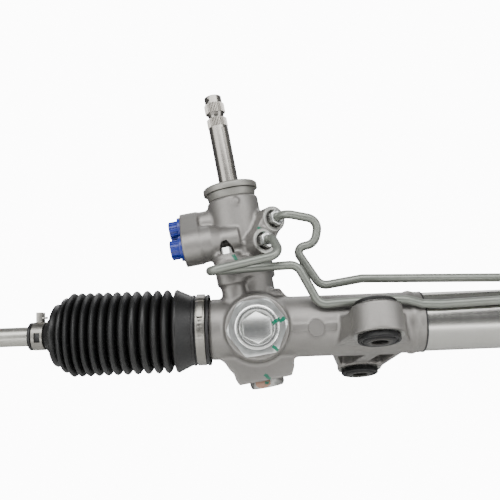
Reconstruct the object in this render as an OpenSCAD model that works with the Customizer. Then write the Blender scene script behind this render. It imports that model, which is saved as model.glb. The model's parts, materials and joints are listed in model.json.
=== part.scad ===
// Hydraulic rack and pinion steering gear, as an assembly of its real pieces.
// Rack coordinates: x runs along the rack, y away from the rack guide, z up towards the input shaft.
// The whole model is then moved so that the origin is the middle of the front mounting bush's bore.

/* [Rack and pinion] */
// Diameter of the rack bar
rack_d = 28; // [26:0.5:30]
// Rack travel each way from the middle
rack_stroke = 72; // [60:1:78]
// Number of pinion teeth
pinion_teeth = 7; // [7:1:8]
// Normal module of the teeth
tooth_module = 1.9; // [1.8:0.05:2]
// Slope of the rack teeth, in degrees
tooth_slope = 18; // [14:1:20]
// Tilt of the pinion axis, in degrees
pinion_tilt = 8.7; // [6:0.1:12]
// Face length of the pinion teeth
pinion_face = 36; // [32:1:38]
// Gap between meshing flanks
mesh_gap = 0.09; // [0.08:0.01:0.15]

/* [Gear housing] */
// Outer diameter of the cast rack tube
housing_d = 55.5; // [54.5:0.5:58]
// Outer diameter of the neck under the boot cuff
neck_d = 53.5; // [52:0.5:54]
// Left end of the neck
neck_end = -66; // [-70:1:-62]
// Right end of the cast tube, where the steel cylinder starts
cast_end = 150; // [146:1:165]
// Depth of the rack stop inside each end
stop_depth = 24; // [20:1:28]
// Outer radius of the pinion tower
tower_r = 24; // [23:0.5:26]
// Height of the joint between gear housing and valve housing
parting_s = 57; // [54:1:60]
// Height of the bottom face of the tower, below the rack axis
tower_drop = 47.5; // [46:0.5:52]
// Diameter of the rack guide boss
guide_boss_d = 56; // [54:1:60]
// How far the rack guide boss stands in front of the rack axis
guide_boss_h = 42; // [40:1:46]
// Outer radius of the round bolt ears
ear_r = 13.5; // [12:0.5:15]

/* [Rack guide] */
// Diameter of the guide and of its threaded cap
guide_d = 38; // [36:0.5:39]
// Hexagon socket across flats
cap_socket_af = 24; // [20:1:25]
// Lock nut across flats
lock_nut_af = 47; // [45:1:50]
// Lock nut thickness
lock_nut_t = 8; // [6:0.5:10]

/* [Hydraulic cylinder] */
// Outer diameter of the steel cylinder tube
cylinder_d = 53.5; // [52:0.5:54]
// Wall of the steel cylinder tube
cylinder_wall = 2.5; // [2:0.25:3]
// Place of the near port along the rack
near_port_x = 262; // [255:1:280]
// Width of the piston
piston_w = 16; // [12:1:20]
// Outer diameter of the steel lines
line_d = 8; // [6:0.5:8]
// Bend radius of the steel lines
line_bend = 11; // [10:0.5:12]

/* [Valve housing] */
// Outer radius of the valve body
valve_r = 24.5; // [23.5:0.5:26]
// Height of the top of the valve body
valve_top_s = 126; // [124:1:130]
// Radius of the bore for the valve sleeve
valve_bore_r = 18; // [17:0.5:19]
// Reach of the pressure and return port face from the shaft axis
port_reach = 53; // [50:1:56]
// Radius of the dust cover rim
cover_r = 26.3; // [25:0.1:28]

/* [Input shaft] */
// Diameter of the input shaft
shaft_d = 19; // [17:0.5:19.5]
// Height of the shaft tip
shaft_tip_s = 231; // [225:0.5:240]
// Outer diameter of the serrations
serration_d = 19.9; // [19:0.1:20.5]
// Number of serrations
serration_count = 36; // [30:1:40]
// Diameter of the torsion bar
torsion_bar_d = 5.5; // [5:0.25:6]

/* [Tie rods and boots] */
// Diameter of the tie rod shank
tie_rod_d = 17.5; // [16:0.5:18]
// Diameter of the tie rod thread
tie_thread_d = 16; // [14:0.5:16]
// Distance from ball centre to tie rod end
tie_rod_length = 235; // [215:1:260]
// Diameter of the ball
ball_d = 28; // [27:0.5:28]
// Outer diameter of the ball socket
socket_d = 38; // [37:0.5:40]
// Largest diameter of the boot folds
boot_d = 76; // [72:1:80]
// Number of full folds
boot_folds = 11; // [10:1:12]
// Pitch of the folds
fold_pitch = 8.8; // [8.4:0.1:9]

/* [Mounting] */
// Place of the two mounting bushes along the rack
bush_x = 102; // [98:1:106]
// Distance of the front bush from the rack axis
front_bush_m = -47; // [-50:0.5:-46]
// Distance of the rear bush from the rack axis
rear_bush_m = 73; // [68:0.5:78]
// Tilt of the bush axes, in degrees
bush_tilt = 16; // [10:1:20]
// Bore of the bush sleeves
bush_bore_d = 14.5; // [12.5:0.5:16]
// Outer diameter of the bush sleeves
bush_sleeve_d = 22; // [20:0.5:24]
// Diameter of the bore in the casting for the rubber
bush_seat_d = 32; // [30:0.5:33]
// Outer diameter of the rubber lips
bush_lip_d = 36.5; // [35:0.5:38]
// Outer radius of the two bush bosses
bush_boss_r = 22; // [20.5:0.5:24]
// Height of the bush bosses
bush_boss_h = 25; // [22:1:27]
// Place of the right saddle mount along the rack
saddle_x = 352; // [330:1:380]
// Distance between the two saddle bolts
saddle_span = 94; // [90:1:100]
// Diameter of the saddle bolt holes
saddle_hole_d = 11; // [9:0.5:12]

/* [Hidden] */
$fn = 64;
running = 0.05;
seat_gap = 0.02;
stop_gap = 1;

// Rack ends, ball centres and mirrored right side
rack_left = neck_end + stop_depth - stop_gap - rack_stroke;
washer_t = 2;
ball_offset = 18;
ball_x = rack_left - washer_t - ball_offset;
port_room = 15;
port_inset = 9;
chamber_x0 = near_port_x - port_inset;
chamber_x1 = chamber_x0 + 2 * rack_stroke + piston_w + 2 * port_room;
far_port_x = chamber_x1 - port_inset;
piston_x = (chamber_x0 + chamber_x1) / 2;
bulkhead_w = 22;
snap_w = 2;
right_stop_x = chamber_x1 + bulkhead_w + snap_w;
cylinder_end = right_stop_x + stop_depth;
side_sum = cylinder_end + neck_end;
rack_right = side_sum - rack_left;

// Tooth geometry
pressure_angle = 20;
helix = tooth_slope + pinion_tilt;
pitch_r = pinion_teeth * tooth_module / (2 * cos(helix));
shift = 0.6 * tooth_module;
pinion_add = 0.85 * tooth_module;
rack_add = 0.95 * tooth_module;
tip_gap = 0.3;
tip_r = pitch_r + shift + pinion_add;
root_r = pitch_r + shift - rack_add - tip_gap;
face_angle = atan(tan(pressure_angle) / cos(helix));
base_r = pitch_r * cos(face_angle);
tooth_half = ((PI / 2 + 2 * 0.6 * tan(pressure_angle)) * tooth_module - mesh_gap)
    / (2 * cos(helix) * pitch_r) * 180 / PI;
rack_flat_y = rack_d / 2 - 4.5;
rack_datum_y = rack_flat_y - rack_add;
pinion_y = rack_datum_y + pitch_r + shift;
rack_pitch = PI * tooth_module / cos(tooth_slope);
rack_spaces = ceil((rack_stroke + 14) / rack_pitch);

// Bores and seats that mating pieces share
rack_r = rack_d / 2;
housing_r = housing_d / 2;
neck_r = neck_d / 2;
cylinder_r = cylinder_d / 2;
bore_r = cylinder_r - cylinder_wall;
rack_bore_r = rack_r + 1.5;
stop_bore_r = neck_r - 4;
spigot_l = 26;
guide_r = guide_d / 2;
lower_seat_r = 16;
lower_seat_s = -28;
journal_r = 6;
bearing_w = 10;
needle_r = 13;
needle_s = [pinion_face / 2 + 4, pinion_face / 2 + 16];
stub_r = 10;
pinion_seal_r = 17;
pinion_seal_s = [needle_s[1], needle_s[1] + 8];
head_s = [parting_s - 10, parting_s + 5];
head_r = 16;
rotor_r = 10.5;
sleeve_s = [head_s[1], head_s[1] + 46];
valve_bearing_s = [sleeve_s[1] + 2, sleeve_s[1] + 9];
top_seat_r = 16;
shaft_r = shaft_d / 2;
slot_half = 6;
ear_at = [-14.5, -23];
ear_bottom_s = parting_s - 14;
ear_top_s = parting_s + 13;
bolt_r = 3;
bolt_flange_r = 6.4;

// Valve housing ports, as places round the shaft axis: across, depth, height
low_port = [-18.4, parting_s + 28, 18];
high_port = [1.6, parting_s + 49.5, 14.5];
port_r = 8;
union_turn = 33;
union_face = 38.4;
low_union = [1.4, parting_s + 19.2];
high_union = [16.8, parting_s + 39.1];
union_r = 12.3;
union_nut_r = 7.5;
union_nut_h = 9;
union_seat = 3;

// Bushes and saddle
bush_lip_t = 5;
sleeve_over = 1;
bush_mid_n = -bush_boss_h / 2;
bush_half = bush_boss_h / 2 + bush_lip_t + sleeve_over;
mount_n = bush_mid_n - bush_half;
bracket_mid_r = 36;
front_bush = bracket_point(bush_x, front_bush_m, bush_mid_n);
saddle_rubber_t = 4.5;
saddle_steel_t = 2.5;
saddle_w = 34;

// Boot sizes
cuff_out = neck_end + 23;
cuff_in = neck_end + 8;
boot_wall = 2;
boot_first = neck_end - 9;
boot_end = neck_end - 144;
boot_valley = boot_d / 2 - 9.5;
clip_x = neck_end - 136;

// Cylinder port bosses and lines
near_port_turn = 59.5;
far_port_turn = 7.4;
port_boss_r = 9;
port_boss_top = cylinder_r + 8;
approach_r = port_boss_top + 20;
near_run_r = cylinder_r + line_d / 2 + 0.3 + 1;
far_run_r = 38.8;
far_lift = 5;

// Frames
function bracket_point(x, m, n) = [x, m * cos(bush_tilt) + n * sin(bush_tilt),
    n * cos(bush_tilt) - m * sin(bush_tilt)];
function valve_point(across, depth, s) = [across * cos(pinion_tilt) - s * sin(pinion_tilt),
    pinion_y + depth, across * sin(pinion_tilt) + s * cos(pinion_tilt)];
function round_point(x, turn, r) = [x, -r * sin(turn), r * cos(turn)];

module in_frame() translate(-front_bush) children();
module along_x(x) translate([x, 0, 0]) rotate([0, 90, 0]) children();
module at_guide(z) rotate([90, 0, 0]) translate([0, 0, z]) children();
module at_pinion(s) translate([0, pinion_y, 0]) rotate([0, -pinion_tilt, 0])
    translate([0, 0, s]) children();
module at_bracket() rotate([-bush_tilt, 0, 0]) children();
module on_right() translate([side_sum, 0, 0]) mirror([1, 0, 0]) children();
module ring(r_out, r_in, h) difference() {
    cylinder(r = r_out, h = h);
    translate([0, 0, -1]) cylinder(r = r_in, h = h + 2);
}

// Outline of two round bosses and the web that is tangent to both
module link2d(a, ra, b, rb) {
    gap = norm(b - a);
    turn = atan2(b[1] - a[1], b[0] - a[0]);
    lean = acos((ra - rb) / gap);
    up = [cos(turn + lean), sin(turn + lean)];
    down = [cos(turn - lean), sin(turn - lean)];
    translate(a) circle(r = ra);
    translate(b) circle(r = rb);
    polygon([a + ra * up, b + rb * up, b + rb * down, a + ra * down]);
}

module link(a, ra, b, rb, z0, z1) {
    translate([0, 0, z0]) linear_extrude(z1 - z0) link2d(a, ra, b, rb);
}

// Bolt ears seen along the shaft axis
module ears(s0, s1, centre_r) at_pinion(0) for (side = [-1, 1])
    link([0, 0], centre_r, -side * ear_at, ear_r, s0, s1);

// Gear housing
module bracket_body() at_bracket() difference() {
    union() {
        translate([bush_x, front_bush_m, -bush_boss_h]) cylinder(r = bush_boss_r, h = bush_boss_h);
        translate([bush_x, rear_bush_m, -bush_boss_h]) cylinder(r = bush_boss_r, h = bush_boss_h);
        link([bush_x, 0], bracket_mid_r, [bush_x, front_bush_m], bush_boss_r - 1,
            -bush_boss_h + 2, -2);
        link([bush_x, 0], bracket_mid_r, [bush_x, rear_bush_m], bush_boss_r - 1,
            -bush_boss_h + 1, -2);
    }
    bracket_pockets();
}

// Pockets under the rear arm, either side of its slanting rib
module bracket_pockets() {
    wall = 4.5;
    rib = 13;
    front = 23;
    translate([0, 0, -bush_boss_h - 1]) linear_extrude(bush_boss_h - 7) difference() {
        link2d([bush_x, 0], bracket_mid_r - wall, [bush_x, rear_bush_m], bush_boss_r - 1 - wall);
        translate([bush_x, rear_bush_m]) circle(r = bush_boss_r);
        translate([bush_x - 60, front - 90]) square([120, 90]);
        translate([bush_x - 1, (front + rear_bush_m) / 2]) rotate(14)
            square([rib, rear_bush_m], center = true);
    }
}

module lower_web() {
    half_top = 34;
    half_low = 25;
    foot = tower_drop;
    fillet = 11;
    knee = housing_r - 2;
    depth = 12;
    at_pinion(0) rotate([90, 0, 0]) linear_extrude(pinion_y + depth) difference() {
            polygon([[-half_top - 4, -knee + 4], [half_top + 2, -knee + 4], [half_top, -knee],
                [half_low - 2, -foot], [-half_low, -foot], [-half_top, -knee]]);
            translate([-half_low - fillet - 2.5, -knee - fillet - 4]) circle(r = fillet);
            translate([half_low + fillet + 2, -knee - fillet - 2]) circle(r = fillet);
            translate([-half_low - 2 * fillet - 2.5, -foot - 1])
                square([2 * fillet, foot - knee - fillet - 3]);
            translate([half_low + 2, -foot - 1]) square([2 * fillet, foot - knee - fillet - 1]);
        }
}

module housing_solid() {
    along_x(neck_end) cylinder(r = neck_r, h = 30);
    along_x(cuff_out + 2) cylinder(r = housing_r, h = cast_end - cuff_out - 2);
    along_x(cast_end - 1) cylinder(r = bore_r - seat_gap, h = spigot_l + 1);
    along_x(bush_x + bracket_mid_r) cylinder(r = housing_r + 1.2, h = 4);
    at_guide(0) cylinder(r = guide_boss_d / 2, h = guide_boss_h);
    at_guide(0) cylinder(r1 = guide_boss_d / 2 + 5, r2 = guide_boss_d / 2, h = guide_boss_h - 8);
    at_pinion(-tower_drop) cylinder(r = tower_r, h = tower_drop + parting_s - 6);
    at_pinion(parting_s - 7) cylinder(r = tower_r + 1, h = 7);
    ears(parting_s - 10, parting_s, tower_r);
    at_pinion(0) translate([ear_at[0], ear_at[1], ear_bottom_s])
        cylinder(r = ear_r, h = parting_s - ear_bottom_s);
    at_pinion(0) translate([ear_at[0], ear_at[1], 0]) cylinder(r = ear_r - 2.5, h = ear_bottom_s + 1);
    at_pinion(0) translate([-ear_at[0], -ear_at[1], 20]) cylinder(r = ear_r - 4, h = parting_s - 21);
    // Rib between the tower and the right-hand tube
    translate([0, 3, 0]) rotate([90, 0, 0]) linear_extrude(5)
        polygon([[14, 20], [32, 24], [22.5, 36], [14, 36]]);
    lower_web();
    bracket_body();
    // Raised parting line with its round pad
    translate([28, -housing_r - 0.7, -4.8]) cube([42, 10, 6.4]);
    at_guide(housing_r - 8) translate([52, -2.2, 0]) cylinder(r = 7.3, h = 9.4);
}

module housing_cavities() {
    along_x(rack_left) cylinder(r = rack_bore_r, h = 400);
    along_x(neck_end - 1) cylinder(r = stop_bore_r, h = stop_depth + 1);
    along_x(48) cylinder(r = 19, h = 400);
    at_guide(8) cylinder(r = guide_r + running, h = 60);
    at_pinion(-tower_drop - 1) cylinder(r = lower_seat_r + seat_gap, h = tower_drop + 1 + lower_seat_s);
    at_pinion(lower_seat_s - 1) cylinder(r = tip_r + 1.8, h = needle_s[0] - lower_seat_s + 1.5);
    at_pinion(needle_s[0]) cylinder(r = needle_r + seat_gap, h = 60);
    at_pinion(pinion_seal_s[0]) cylinder(r = pinion_seal_r + seat_gap, h = 60);
    at_pinion(head_s[0] - 1) cylinder(r = valve_bore_r, h = 60);
    for (side = [-1, 1]) at_pinion(0)
        translate([side * ear_at[0], side * ear_at[1], parting_s - 16]) cylinder(r = bolt_r, h = 20);
    at_bracket() for (m = [front_bush_m, rear_bush_m]) translate([bush_x, m, -bush_boss_h - 1])
        cylinder(d = bush_seat_d, h = bush_boss_h + 2);
}

module gear_housing() color("silver") in_frame() difference() {
    housing_solid();
    housing_cavities();
}

// Valve housing
module port_outline() link2d([low_port[0], low_port[1]], low_port[2],
    [high_port[0], high_port[1]], high_port[2]);

module at_port_face(x) rotate([90, 0, -90]) translate([0, 0, x]) children();

module at_union(place, out) rotate([0, 0, -90 + union_turn]) translate([0, place[0], place[1]])
    rotate([0, 90, 0]) translate([0, 0, out]) children();

module union_plate() {
    rotate([90, 0, union_turn]) mirror([1, 0, 0]) translate([0, 0, union_face - 14]) linear_extrude(12)
        link2d([-low_union[0], low_union[1]], union_r - 1.2, [-high_union[0], high_union[1]], union_r - 1.2);
}

port_block = 17;
port_neck = 17;
port_neck_r = 12;
module valve_solid() {
    at_pinion(parting_s) cylinder(r = valve_r, h = valve_top_s - parting_s - 2);
    at_pinion(valve_top_s - 2) cylinder(r1 = valve_r, r2 = valve_r - 2, h = 2);
    ears(parting_s, ear_top_s - 4, valve_r - 0.5);
    at_pinion(0) for (side = [-1, 1])
        translate([side * ear_at[0], side * ear_at[1], parting_s])
            cylinder(r = ear_r - 1, h = ear_top_s + 0.8 - parting_s);
    at_pinion(0) {
        mirror([1, 0, 0]) rotate([90, 0, 90]) translate([0, 0, port_reach - port_block])
            linear_extrude(port_block) port_outline();
        // The low port's boss narrows to a neck, which leaves room for the bolt beside it
        translate([0, low_port[0], low_port[1]]) rotate([0, -90, 0]) {
            cylinder(r = port_neck_r - 0.2, h = port_neck + 0.5);
            translate([0, 0, port_neck]) cylinder(r1 = port_neck_r, r2 = low_port[2] - 1, h = 9);
            translate([0, 0, port_neck + 9]) cylinder(r = low_port[2] - 1, h = port_reach - port_neck - 14);
        }
        translate([0, high_port[0], high_port[1]]) rotate([0, -90, 0])
            cylinder(r = high_port[2] - 1, h = port_reach - 5);
        union_plate();
        for (place = [low_union, high_union]) at_union(place, 8) cylinder(r = union_r, h = union_face - 8);
        translate([3, -valve_r + 3, valve_top_s - 7]) rotate([90, 0, 0]) cylinder(r = 3, h = 4.5);
    }
}

module valve_cavities() {
    at_pinion(parting_s - 1) cylinder(r = valve_bore_r, h = sleeve_s[1] + 2 - parting_s);
    at_pinion(valve_bearing_s[0] - 2) cylinder(r = top_seat_r + seat_gap, h = 40);
    at_pinion(0) {
        for (side = [-1, 1]) translate([side * ear_at[0], side * ear_at[1], parting_s - 1])
            cylinder(r = bolt_r + 0.4, h = 30);
        // Spot face for each bolt head, which also clears it from the port bosses
        for (side = [-1, 1]) translate([side * ear_at[0], side * ear_at[1], ear_top_s])
            cylinder(r = bolt_flange_r + 0.6, h = 15);
        translate([0, low_port[0], low_port[1]]) rotate([0, -90, 0])
            translate([0, 0, 34]) cylinder(r = port_r, h = 30);
        translate([0, high_port[0], high_port[1]]) rotate([0, -90, 0])
            translate([0, 0, 34]) cylinder(r = port_r, h = 30);
        for (place = [low_union, high_union]) {
            at_union(place, union_face - union_seat) cylinder(r = union_nut_r + 0.8, h = 8);
            at_union(place, union_face - 16) cylinder(r = line_d / 2 + 1.2, h = 20);
        }
    }
}

module valve_housing() color("silver") in_frame() difference() {
    valve_solid();
    valve_cavities();
}

module valve_housing_bolts() color("gainsboro") in_frame() at_pinion(0) for (side = [-1, 1])
    translate([side * ear_at[0], side * ear_at[1], ear_top_s]) {
        cylinder(r = bolt_flange_r, h = 1.4);
        cylinder(d = 10 / cos(30), h = 7.5, $fn = 6);
        translate([0, 0, parting_s - ear_top_s - 15]) cylinder(r = bolt_r - running,
            h = ear_top_s - parting_s + 15.5);
    }

// Cover over the valve body, with its rim for the column seal
module dust_cover() color("darkgray") in_frame() at_pinion(valve_top_s) difference() {
    union() {
        cylinder(r1 = valve_r - 2, r2 = valve_r - 0.5, h = 6.5);
        translate([0, 0, 7]) cylinder(r = cover_r, h = 5);
        translate([0, 0, 12]) cylinder(r1 = cover_r, r2 = cover_r - 1.4, h = 1.4);
        cylinder(r = valve_r - 2.2, h = 12);
        translate([0, 0, -3]) cylinder(r = top_seat_r - 0.1, h = 6);
    }
    translate([0, 0, -4]) cylinder(r = shaft_r + 3, h = 14);
    translate([0, 0, -4]) cylinder(r = shaft_r + 0.5, h = 24);
}

// Hydraulic cylinder
module port_boss(x, turn) rotate([turn, 0, 0]) translate([x, 0, bore_r + 1])
    cylinder(r = port_boss_r, h = port_boss_top - bore_r - 1);

module cylinder_tube() color("lightsteelblue") in_frame() difference() {
    union() {
        along_x(cast_end) cylinder(r = cylinder_r, h = cylinder_end - cast_end);
        port_boss(near_port_x, near_port_turn);
        port_boss(far_port_x, far_port_turn);
    }
    along_x(cast_end - 1) cylinder(r = bore_r, h = cylinder_end - cast_end + 2);
    for (port = [[near_port_x, near_port_turn], [far_port_x, far_port_turn]])
        rotate([port[1], 0, 0]) translate([port[0], 0, 0]) {
            cylinder(r = 3, h = port_boss_top + 1);
            translate([0, 0, port_boss_top - 6]) cylinder(r = line_d / 2 + 1.2, h = 8);
        }
}

seal_w = 8;
seal_r = 20;
module inner_seal_holder() color("gainsboro") in_frame() difference() {
    along_x(cast_end + spigot_l) cylinder(r = bore_r - seat_gap, h = chamber_x0 - cast_end - spigot_l);
    along_x(cast_end) cylinder(r = rack_r + running, h = 200);
    along_x(cast_end) cylinder(r = seal_r, h = chamber_x0 - 20 - cast_end);
    along_x(chamber_x0 - seal_w - 2) cylinder(r = seal_r + seat_gap, h = 20);
}

module rack_bulkhead() color("gainsboro") in_frame() difference() {
    along_x(chamber_x1) cylinder(r = bore_r - seat_gap, h = bulkhead_w);
    along_x(chamber_x1 - 1) cylinder(r = rack_r + running, h = bulkhead_w + 2);
    along_x(chamber_x1 - 1) cylinder(r = seal_r + seat_gap, h = seal_w + 3);
}

module rack_seals() color("dimgray") in_frame() for (x = [chamber_x0 - seal_w - 2, chamber_x1 + 2])
    along_x(x) ring(seal_r, rack_r + running, seal_w);

module bulkhead_snap_ring() color("gray") in_frame() along_x(right_stop_x - snap_w)
    ring(bore_r - seat_gap, bore_r - 2.5, snap_w - 0.1);

// Rack guide
guide_z0 = 9.5;
guide_z1 = 30;
cap_z0 = 33;
cap_z1 = guide_boss_h + lock_nut_t + 3;
module rack_guide() color("silver") in_frame() difference() {
    at_guide(guide_z0) cylinder(r = guide_r - running, h = guide_z1 - guide_z0);
    along_x(-40) cylinder(r = rack_r + 0.85, h = 80);
    at_guide(guide_z1 - 12) cylinder(r = 10, h = 20);
    at_guide(guide_z1 - 5) difference() {
        cylinder(r = guide_r + 1, h = 2.6);
        translate([0, 0, -1]) cylinder(r = guide_r - 2, h = 5);
    }
}

module guide_liner() color("ivory") in_frame() intersection() {
    at_guide(guide_z0 + 0.5) cylinder(r = guide_r - 1, h = 20);
    difference() {
        along_x(-13) cylinder(r = rack_r + 0.8, h = 26);
        along_x(-20) cylinder(r = rack_r + running, h = 40);
    }
}

module guide_o_ring() color("black") in_frame() at_guide(guide_z1 - 3.7)
    rotate_extrude() translate([guide_r - 1.05, 0]) circle(r = 0.95);

// Coil spring between the guide and its cap, one solid of stacked turns joined by a slant
module guide_spring() color("dimgray") in_frame() {
    wire = 2.2;
    low = guide_z1 - 12;
    high = cap_z0 + 6;
    turns = 4;
    steps = 16;
    rise = (high - low - wire) / (turns * steps);
    at_guide(low + wire / 2) sweep_tube([for (i = [0 : turns * steps])
        [8 * cos(360 * i / steps), 8 * sin(360 * i / steps), i * rise]], wire / 2 - 0.02, 6, [0, 0, 1]);
}

// Tube with few sides swept along a list of points; up is a direction that no run follows
line_up = [-0.6, -0.6, 0.53];
module sweep_tube(points, r, sides, up) {
    n = len(points);
    ring_points = [for (i = [0 : n - 1]) let (
        d = unit(points[min(i + 1, n - 1)] - points[max(i - 1, 0)]),
        u = unit(cross(d, up)),
        v = cross(u, d))
        for (k = [0 : sides - 1]) points[i] + r * (cos(360 * k / sides) * u + sin(360 * k / sides) * v)];
    walls = [for (i = [0 : n - 2]) for (k = [0 : sides - 1]) let (j = (k + 1) % sides)
        [i * sides + k, i * sides + j, (i + 1) * sides + j, (i + 1) * sides + k]];
    first = [[for (k = [sides - 1 : -1 : 0]) k]];
    last = [[for (k = [0 : sides - 1]) (n - 1) * sides + k]];
    polyhedron(ring_points, concat(walls, first, last), convexity = 6);
}

module guide_cap() color("whitesmoke") in_frame() difference() {
    at_guide(cap_z0) cylinder(r = guide_r - 0.02, h = cap_z1 - cap_z0 - 1);
    at_guide(cap_z0 - 1) cylinder(r = 10.5, h = 7);
    at_guide(cap_z1 - 10) rotate(30) cylinder(d = cap_socket_af / cos(30), h = 20, $fn = 6);
    at_guide(cap_z1 - 3.5) cylinder(r1 = cap_socket_af / 2, r2 = cap_socket_af / 2 + 2.6, h = 2.6);
    at_guide(cap_z1 - 2) difference() {
        cylinder(r = guide_r + 1, h = 3);
        translate([0, 0, -1]) cylinder(r = guide_r - 1.3, h = 5);
    }
}

module guide_lock_nut() color("whitesmoke") in_frame() at_guide(guide_boss_h + 0.02) difference() {
    intersection() {
        rotate(3) cylinder(d = lock_nut_af / cos(30), h = lock_nut_t, $fn = 6);
        cylinder(r1 = lock_nut_af / 2 + 4.5, r2 = lock_nut_af / 2 + 1.5, h = lock_nut_t + 1);
    }
    translate([0, 0, -1]) cylinder(r = guide_r + 0.02, h = lock_nut_t + 2);
}

// Pinion support
module bottom_plug() color("lightgray") in_frame() at_pinion(-tower_drop) difference() {
    union() {
        translate([0, 0, -0.5]) cylinder(r = lower_seat_r - 0.02, h = 5.5);
        translate([0, 0, -7.5]) rotate(8) cylinder(r = 17, h = 7.48, $fn = 6);
    }
    translate([0, 0, -8]) cylinder(r = 8, h = 5);
    translate([0, 0, 1]) cylinder(r = 13, h = 5);
}

ball_r = 3;
ball_ring_r = 11;
module bearing_s0() at_pinion(lower_seat_s - bearing_w) children();
module lower_bearing_race() color("gray") in_frame() bearing_s0() difference() {
    ring(lower_seat_r, ball_ring_r + 1.6, bearing_w - 0.02);
    translate([0, 0, bearing_w / 2]) rotate_extrude() translate([ball_ring_r, 0]) circle(r = ball_r + running);
}
module lower_bearing_inner() color("gray") in_frame() bearing_s0() difference() {
    ring(ball_ring_r - 1.6, journal_r + seat_gap, bearing_w - 0.02);
    translate([0, 0, bearing_w / 2]) rotate_extrude() translate([ball_ring_r, 0]) circle(r = ball_r + running);
}
module lower_bearing_balls() color("gray") in_frame() bearing_s0() for (i = [0 : 8])
    rotate(i * 40) translate([ball_ring_r, 0, bearing_w / 2]) sphere(r = ball_r);

module pinion_needle_bearing() color("gray") in_frame() at_pinion(needle_s[0])
    ring(needle_r, stub_r + running, needle_s[1] - needle_s[0] - 0.3);
module pinion_seal() color("black") in_frame() at_pinion(pinion_seal_s[0])
    ring(pinion_seal_r, stub_r + running, pinion_seal_s[1] - pinion_seal_s[0] - 0.5);
module pinion_nut() color("gray") in_frame() at_pinion(lower_seat_s - bearing_w - 5) difference() {
    cylinder(r = 10, h = 4.9, $fn = 6);
    translate([0, 0, -1]) cylinder(r = journal_r + seat_gap, h = 8);
}

// Involute pinion tooth, as half angles at a few radii
function involute(a) = tan(a) * 180 / PI - a;
function half_at(r) = tooth_half + involute(face_angle)
    - (r > base_r ? involute(acos(base_r / r)) : 0);
function polar(r, a) = [r * cos(a), r * sin(a)];
flank_radii = [root_r, base_r, base_r + (tip_r - base_r) * 0.35, base_r + (tip_r - base_r) * 0.7, tip_r];
function tooth_points(a) = concat([for (r = flank_radii) polar(r, a - half_at(r))],
    [for (i = [len(flank_radii) - 1 : -1 : 0]) polar(flank_radii[i], a + half_at(flank_radii[i]))]);
module pinion_profile() polygon([for (i = [0 : pinion_teeth - 1])
    each tooth_points(-90 + i * 360 / pinion_teeth)]);

module pinion() color("gray") in_frame() at_pinion(0) {
    twist_total = pinion_face * tan(helix) / pitch_r * 180 / PI;
    rotate(-twist_total / 2) linear_extrude(pinion_face, center = true, twist = -twist_total, slices = 22)
        pinion_profile();
    difference() {
        union() {
            translate([0, 0, -pinion_face / 2 - 0.5]) cylinder(r = root_r - 0.1, h = pinion_face + 1);
            translate([0, 0, lower_seat_s]) cylinder(r = 8, h = -pinion_face / 2 - lower_seat_s);
            translate([0, 0, lower_seat_s - bearing_w - 6]) cylinder(r = journal_r, h = bearing_w + 7);
            translate([0, 0, pinion_face / 2]) cylinder(r = stub_r, h = head_s[1] - pinion_face / 2 - 2);
            translate([0, 0, head_s[0]]) cylinder(r = head_r - 1.5, h = head_s[1] - head_s[0]);
            translate([0, 0, head_s[1] - 4]) cylinder(r = head_r, h = 4);
        }
        translate([0, 0, head_s[0] - 12]) cylinder(r = torsion_bar_d / 2 + 1.25 + running, h = 60);
        translate([0, 0, head_s[0] + 5]) linear_extrude(40) intersection() {
            circle(r = shaft_r + 0.3);
            square([2 * shaft_r + 2, 2 * (slot_half + shaft_r * sin(5))], center = true);
        }
    }
}

// Rotary valve
valve_slots = 6;
module valve_sleeve() color("goldenrod") in_frame() at_pinion(sleeve_s[0]) difference() {
    ring(valve_bore_r - running, rotor_r + running, sleeve_s[1] - sleeve_s[0]);
    for (z = [6, 14, 22, 30, 38]) translate([0, 0, z]) difference() {
        cylinder(r = valve_bore_r + 1, h = 3);
        translate([0, 0, -1]) cylinder(r = valve_bore_r - 1.6, h = 5);
    }
    for (i = [0 : valve_slots - 1]) rotate(i * 360 / valve_slots) {
        translate([rotor_r, 0, 23]) cube([3, 3, 26], center = true);
        translate([rotor_r, 0, i % 2 == 0 ? 15.5 : 31.5]) rotate([0, 90, 0]) cylinder(r = 1.2, h = 12);
    }
}
module sleeve_rings() color("white") in_frame() at_pinion(sleeve_s[0]) for (z = [6, 22, 38])
    translate([0, 0, z + 0.1]) ring(valve_bore_r - running, valve_bore_r - 1.5, 2.8);

serration_z = [[parting_s + 142, parting_s + 151], [parting_s + 156.5, shaft_tip_s - 8]];
function serration_points(n) = [for (i = [0 : n - 1]) for (j = [0, 1, 2])
    polar(j == 1 ? serration_d / 2 : serration_d / 2 - 0.9, (i + j / 3) * 360 / n)];
module serration_band(z0, z1) intersection() {
    translate([0, 0, z0]) linear_extrude(z1 - z0) polygon(serration_points(serration_count));
    translate([0, 0, z0]) cylinder(r1 = shaft_r - 0.2, r2 = shaft_r - 0.2 + (z1 - z0), h = z1 - z0);
    translate([0, 0, z0]) cylinder(r1 = shaft_r - 0.2 + (z1 - z0), r2 = shaft_r - 0.2, h = z1 - z0);
}

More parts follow.
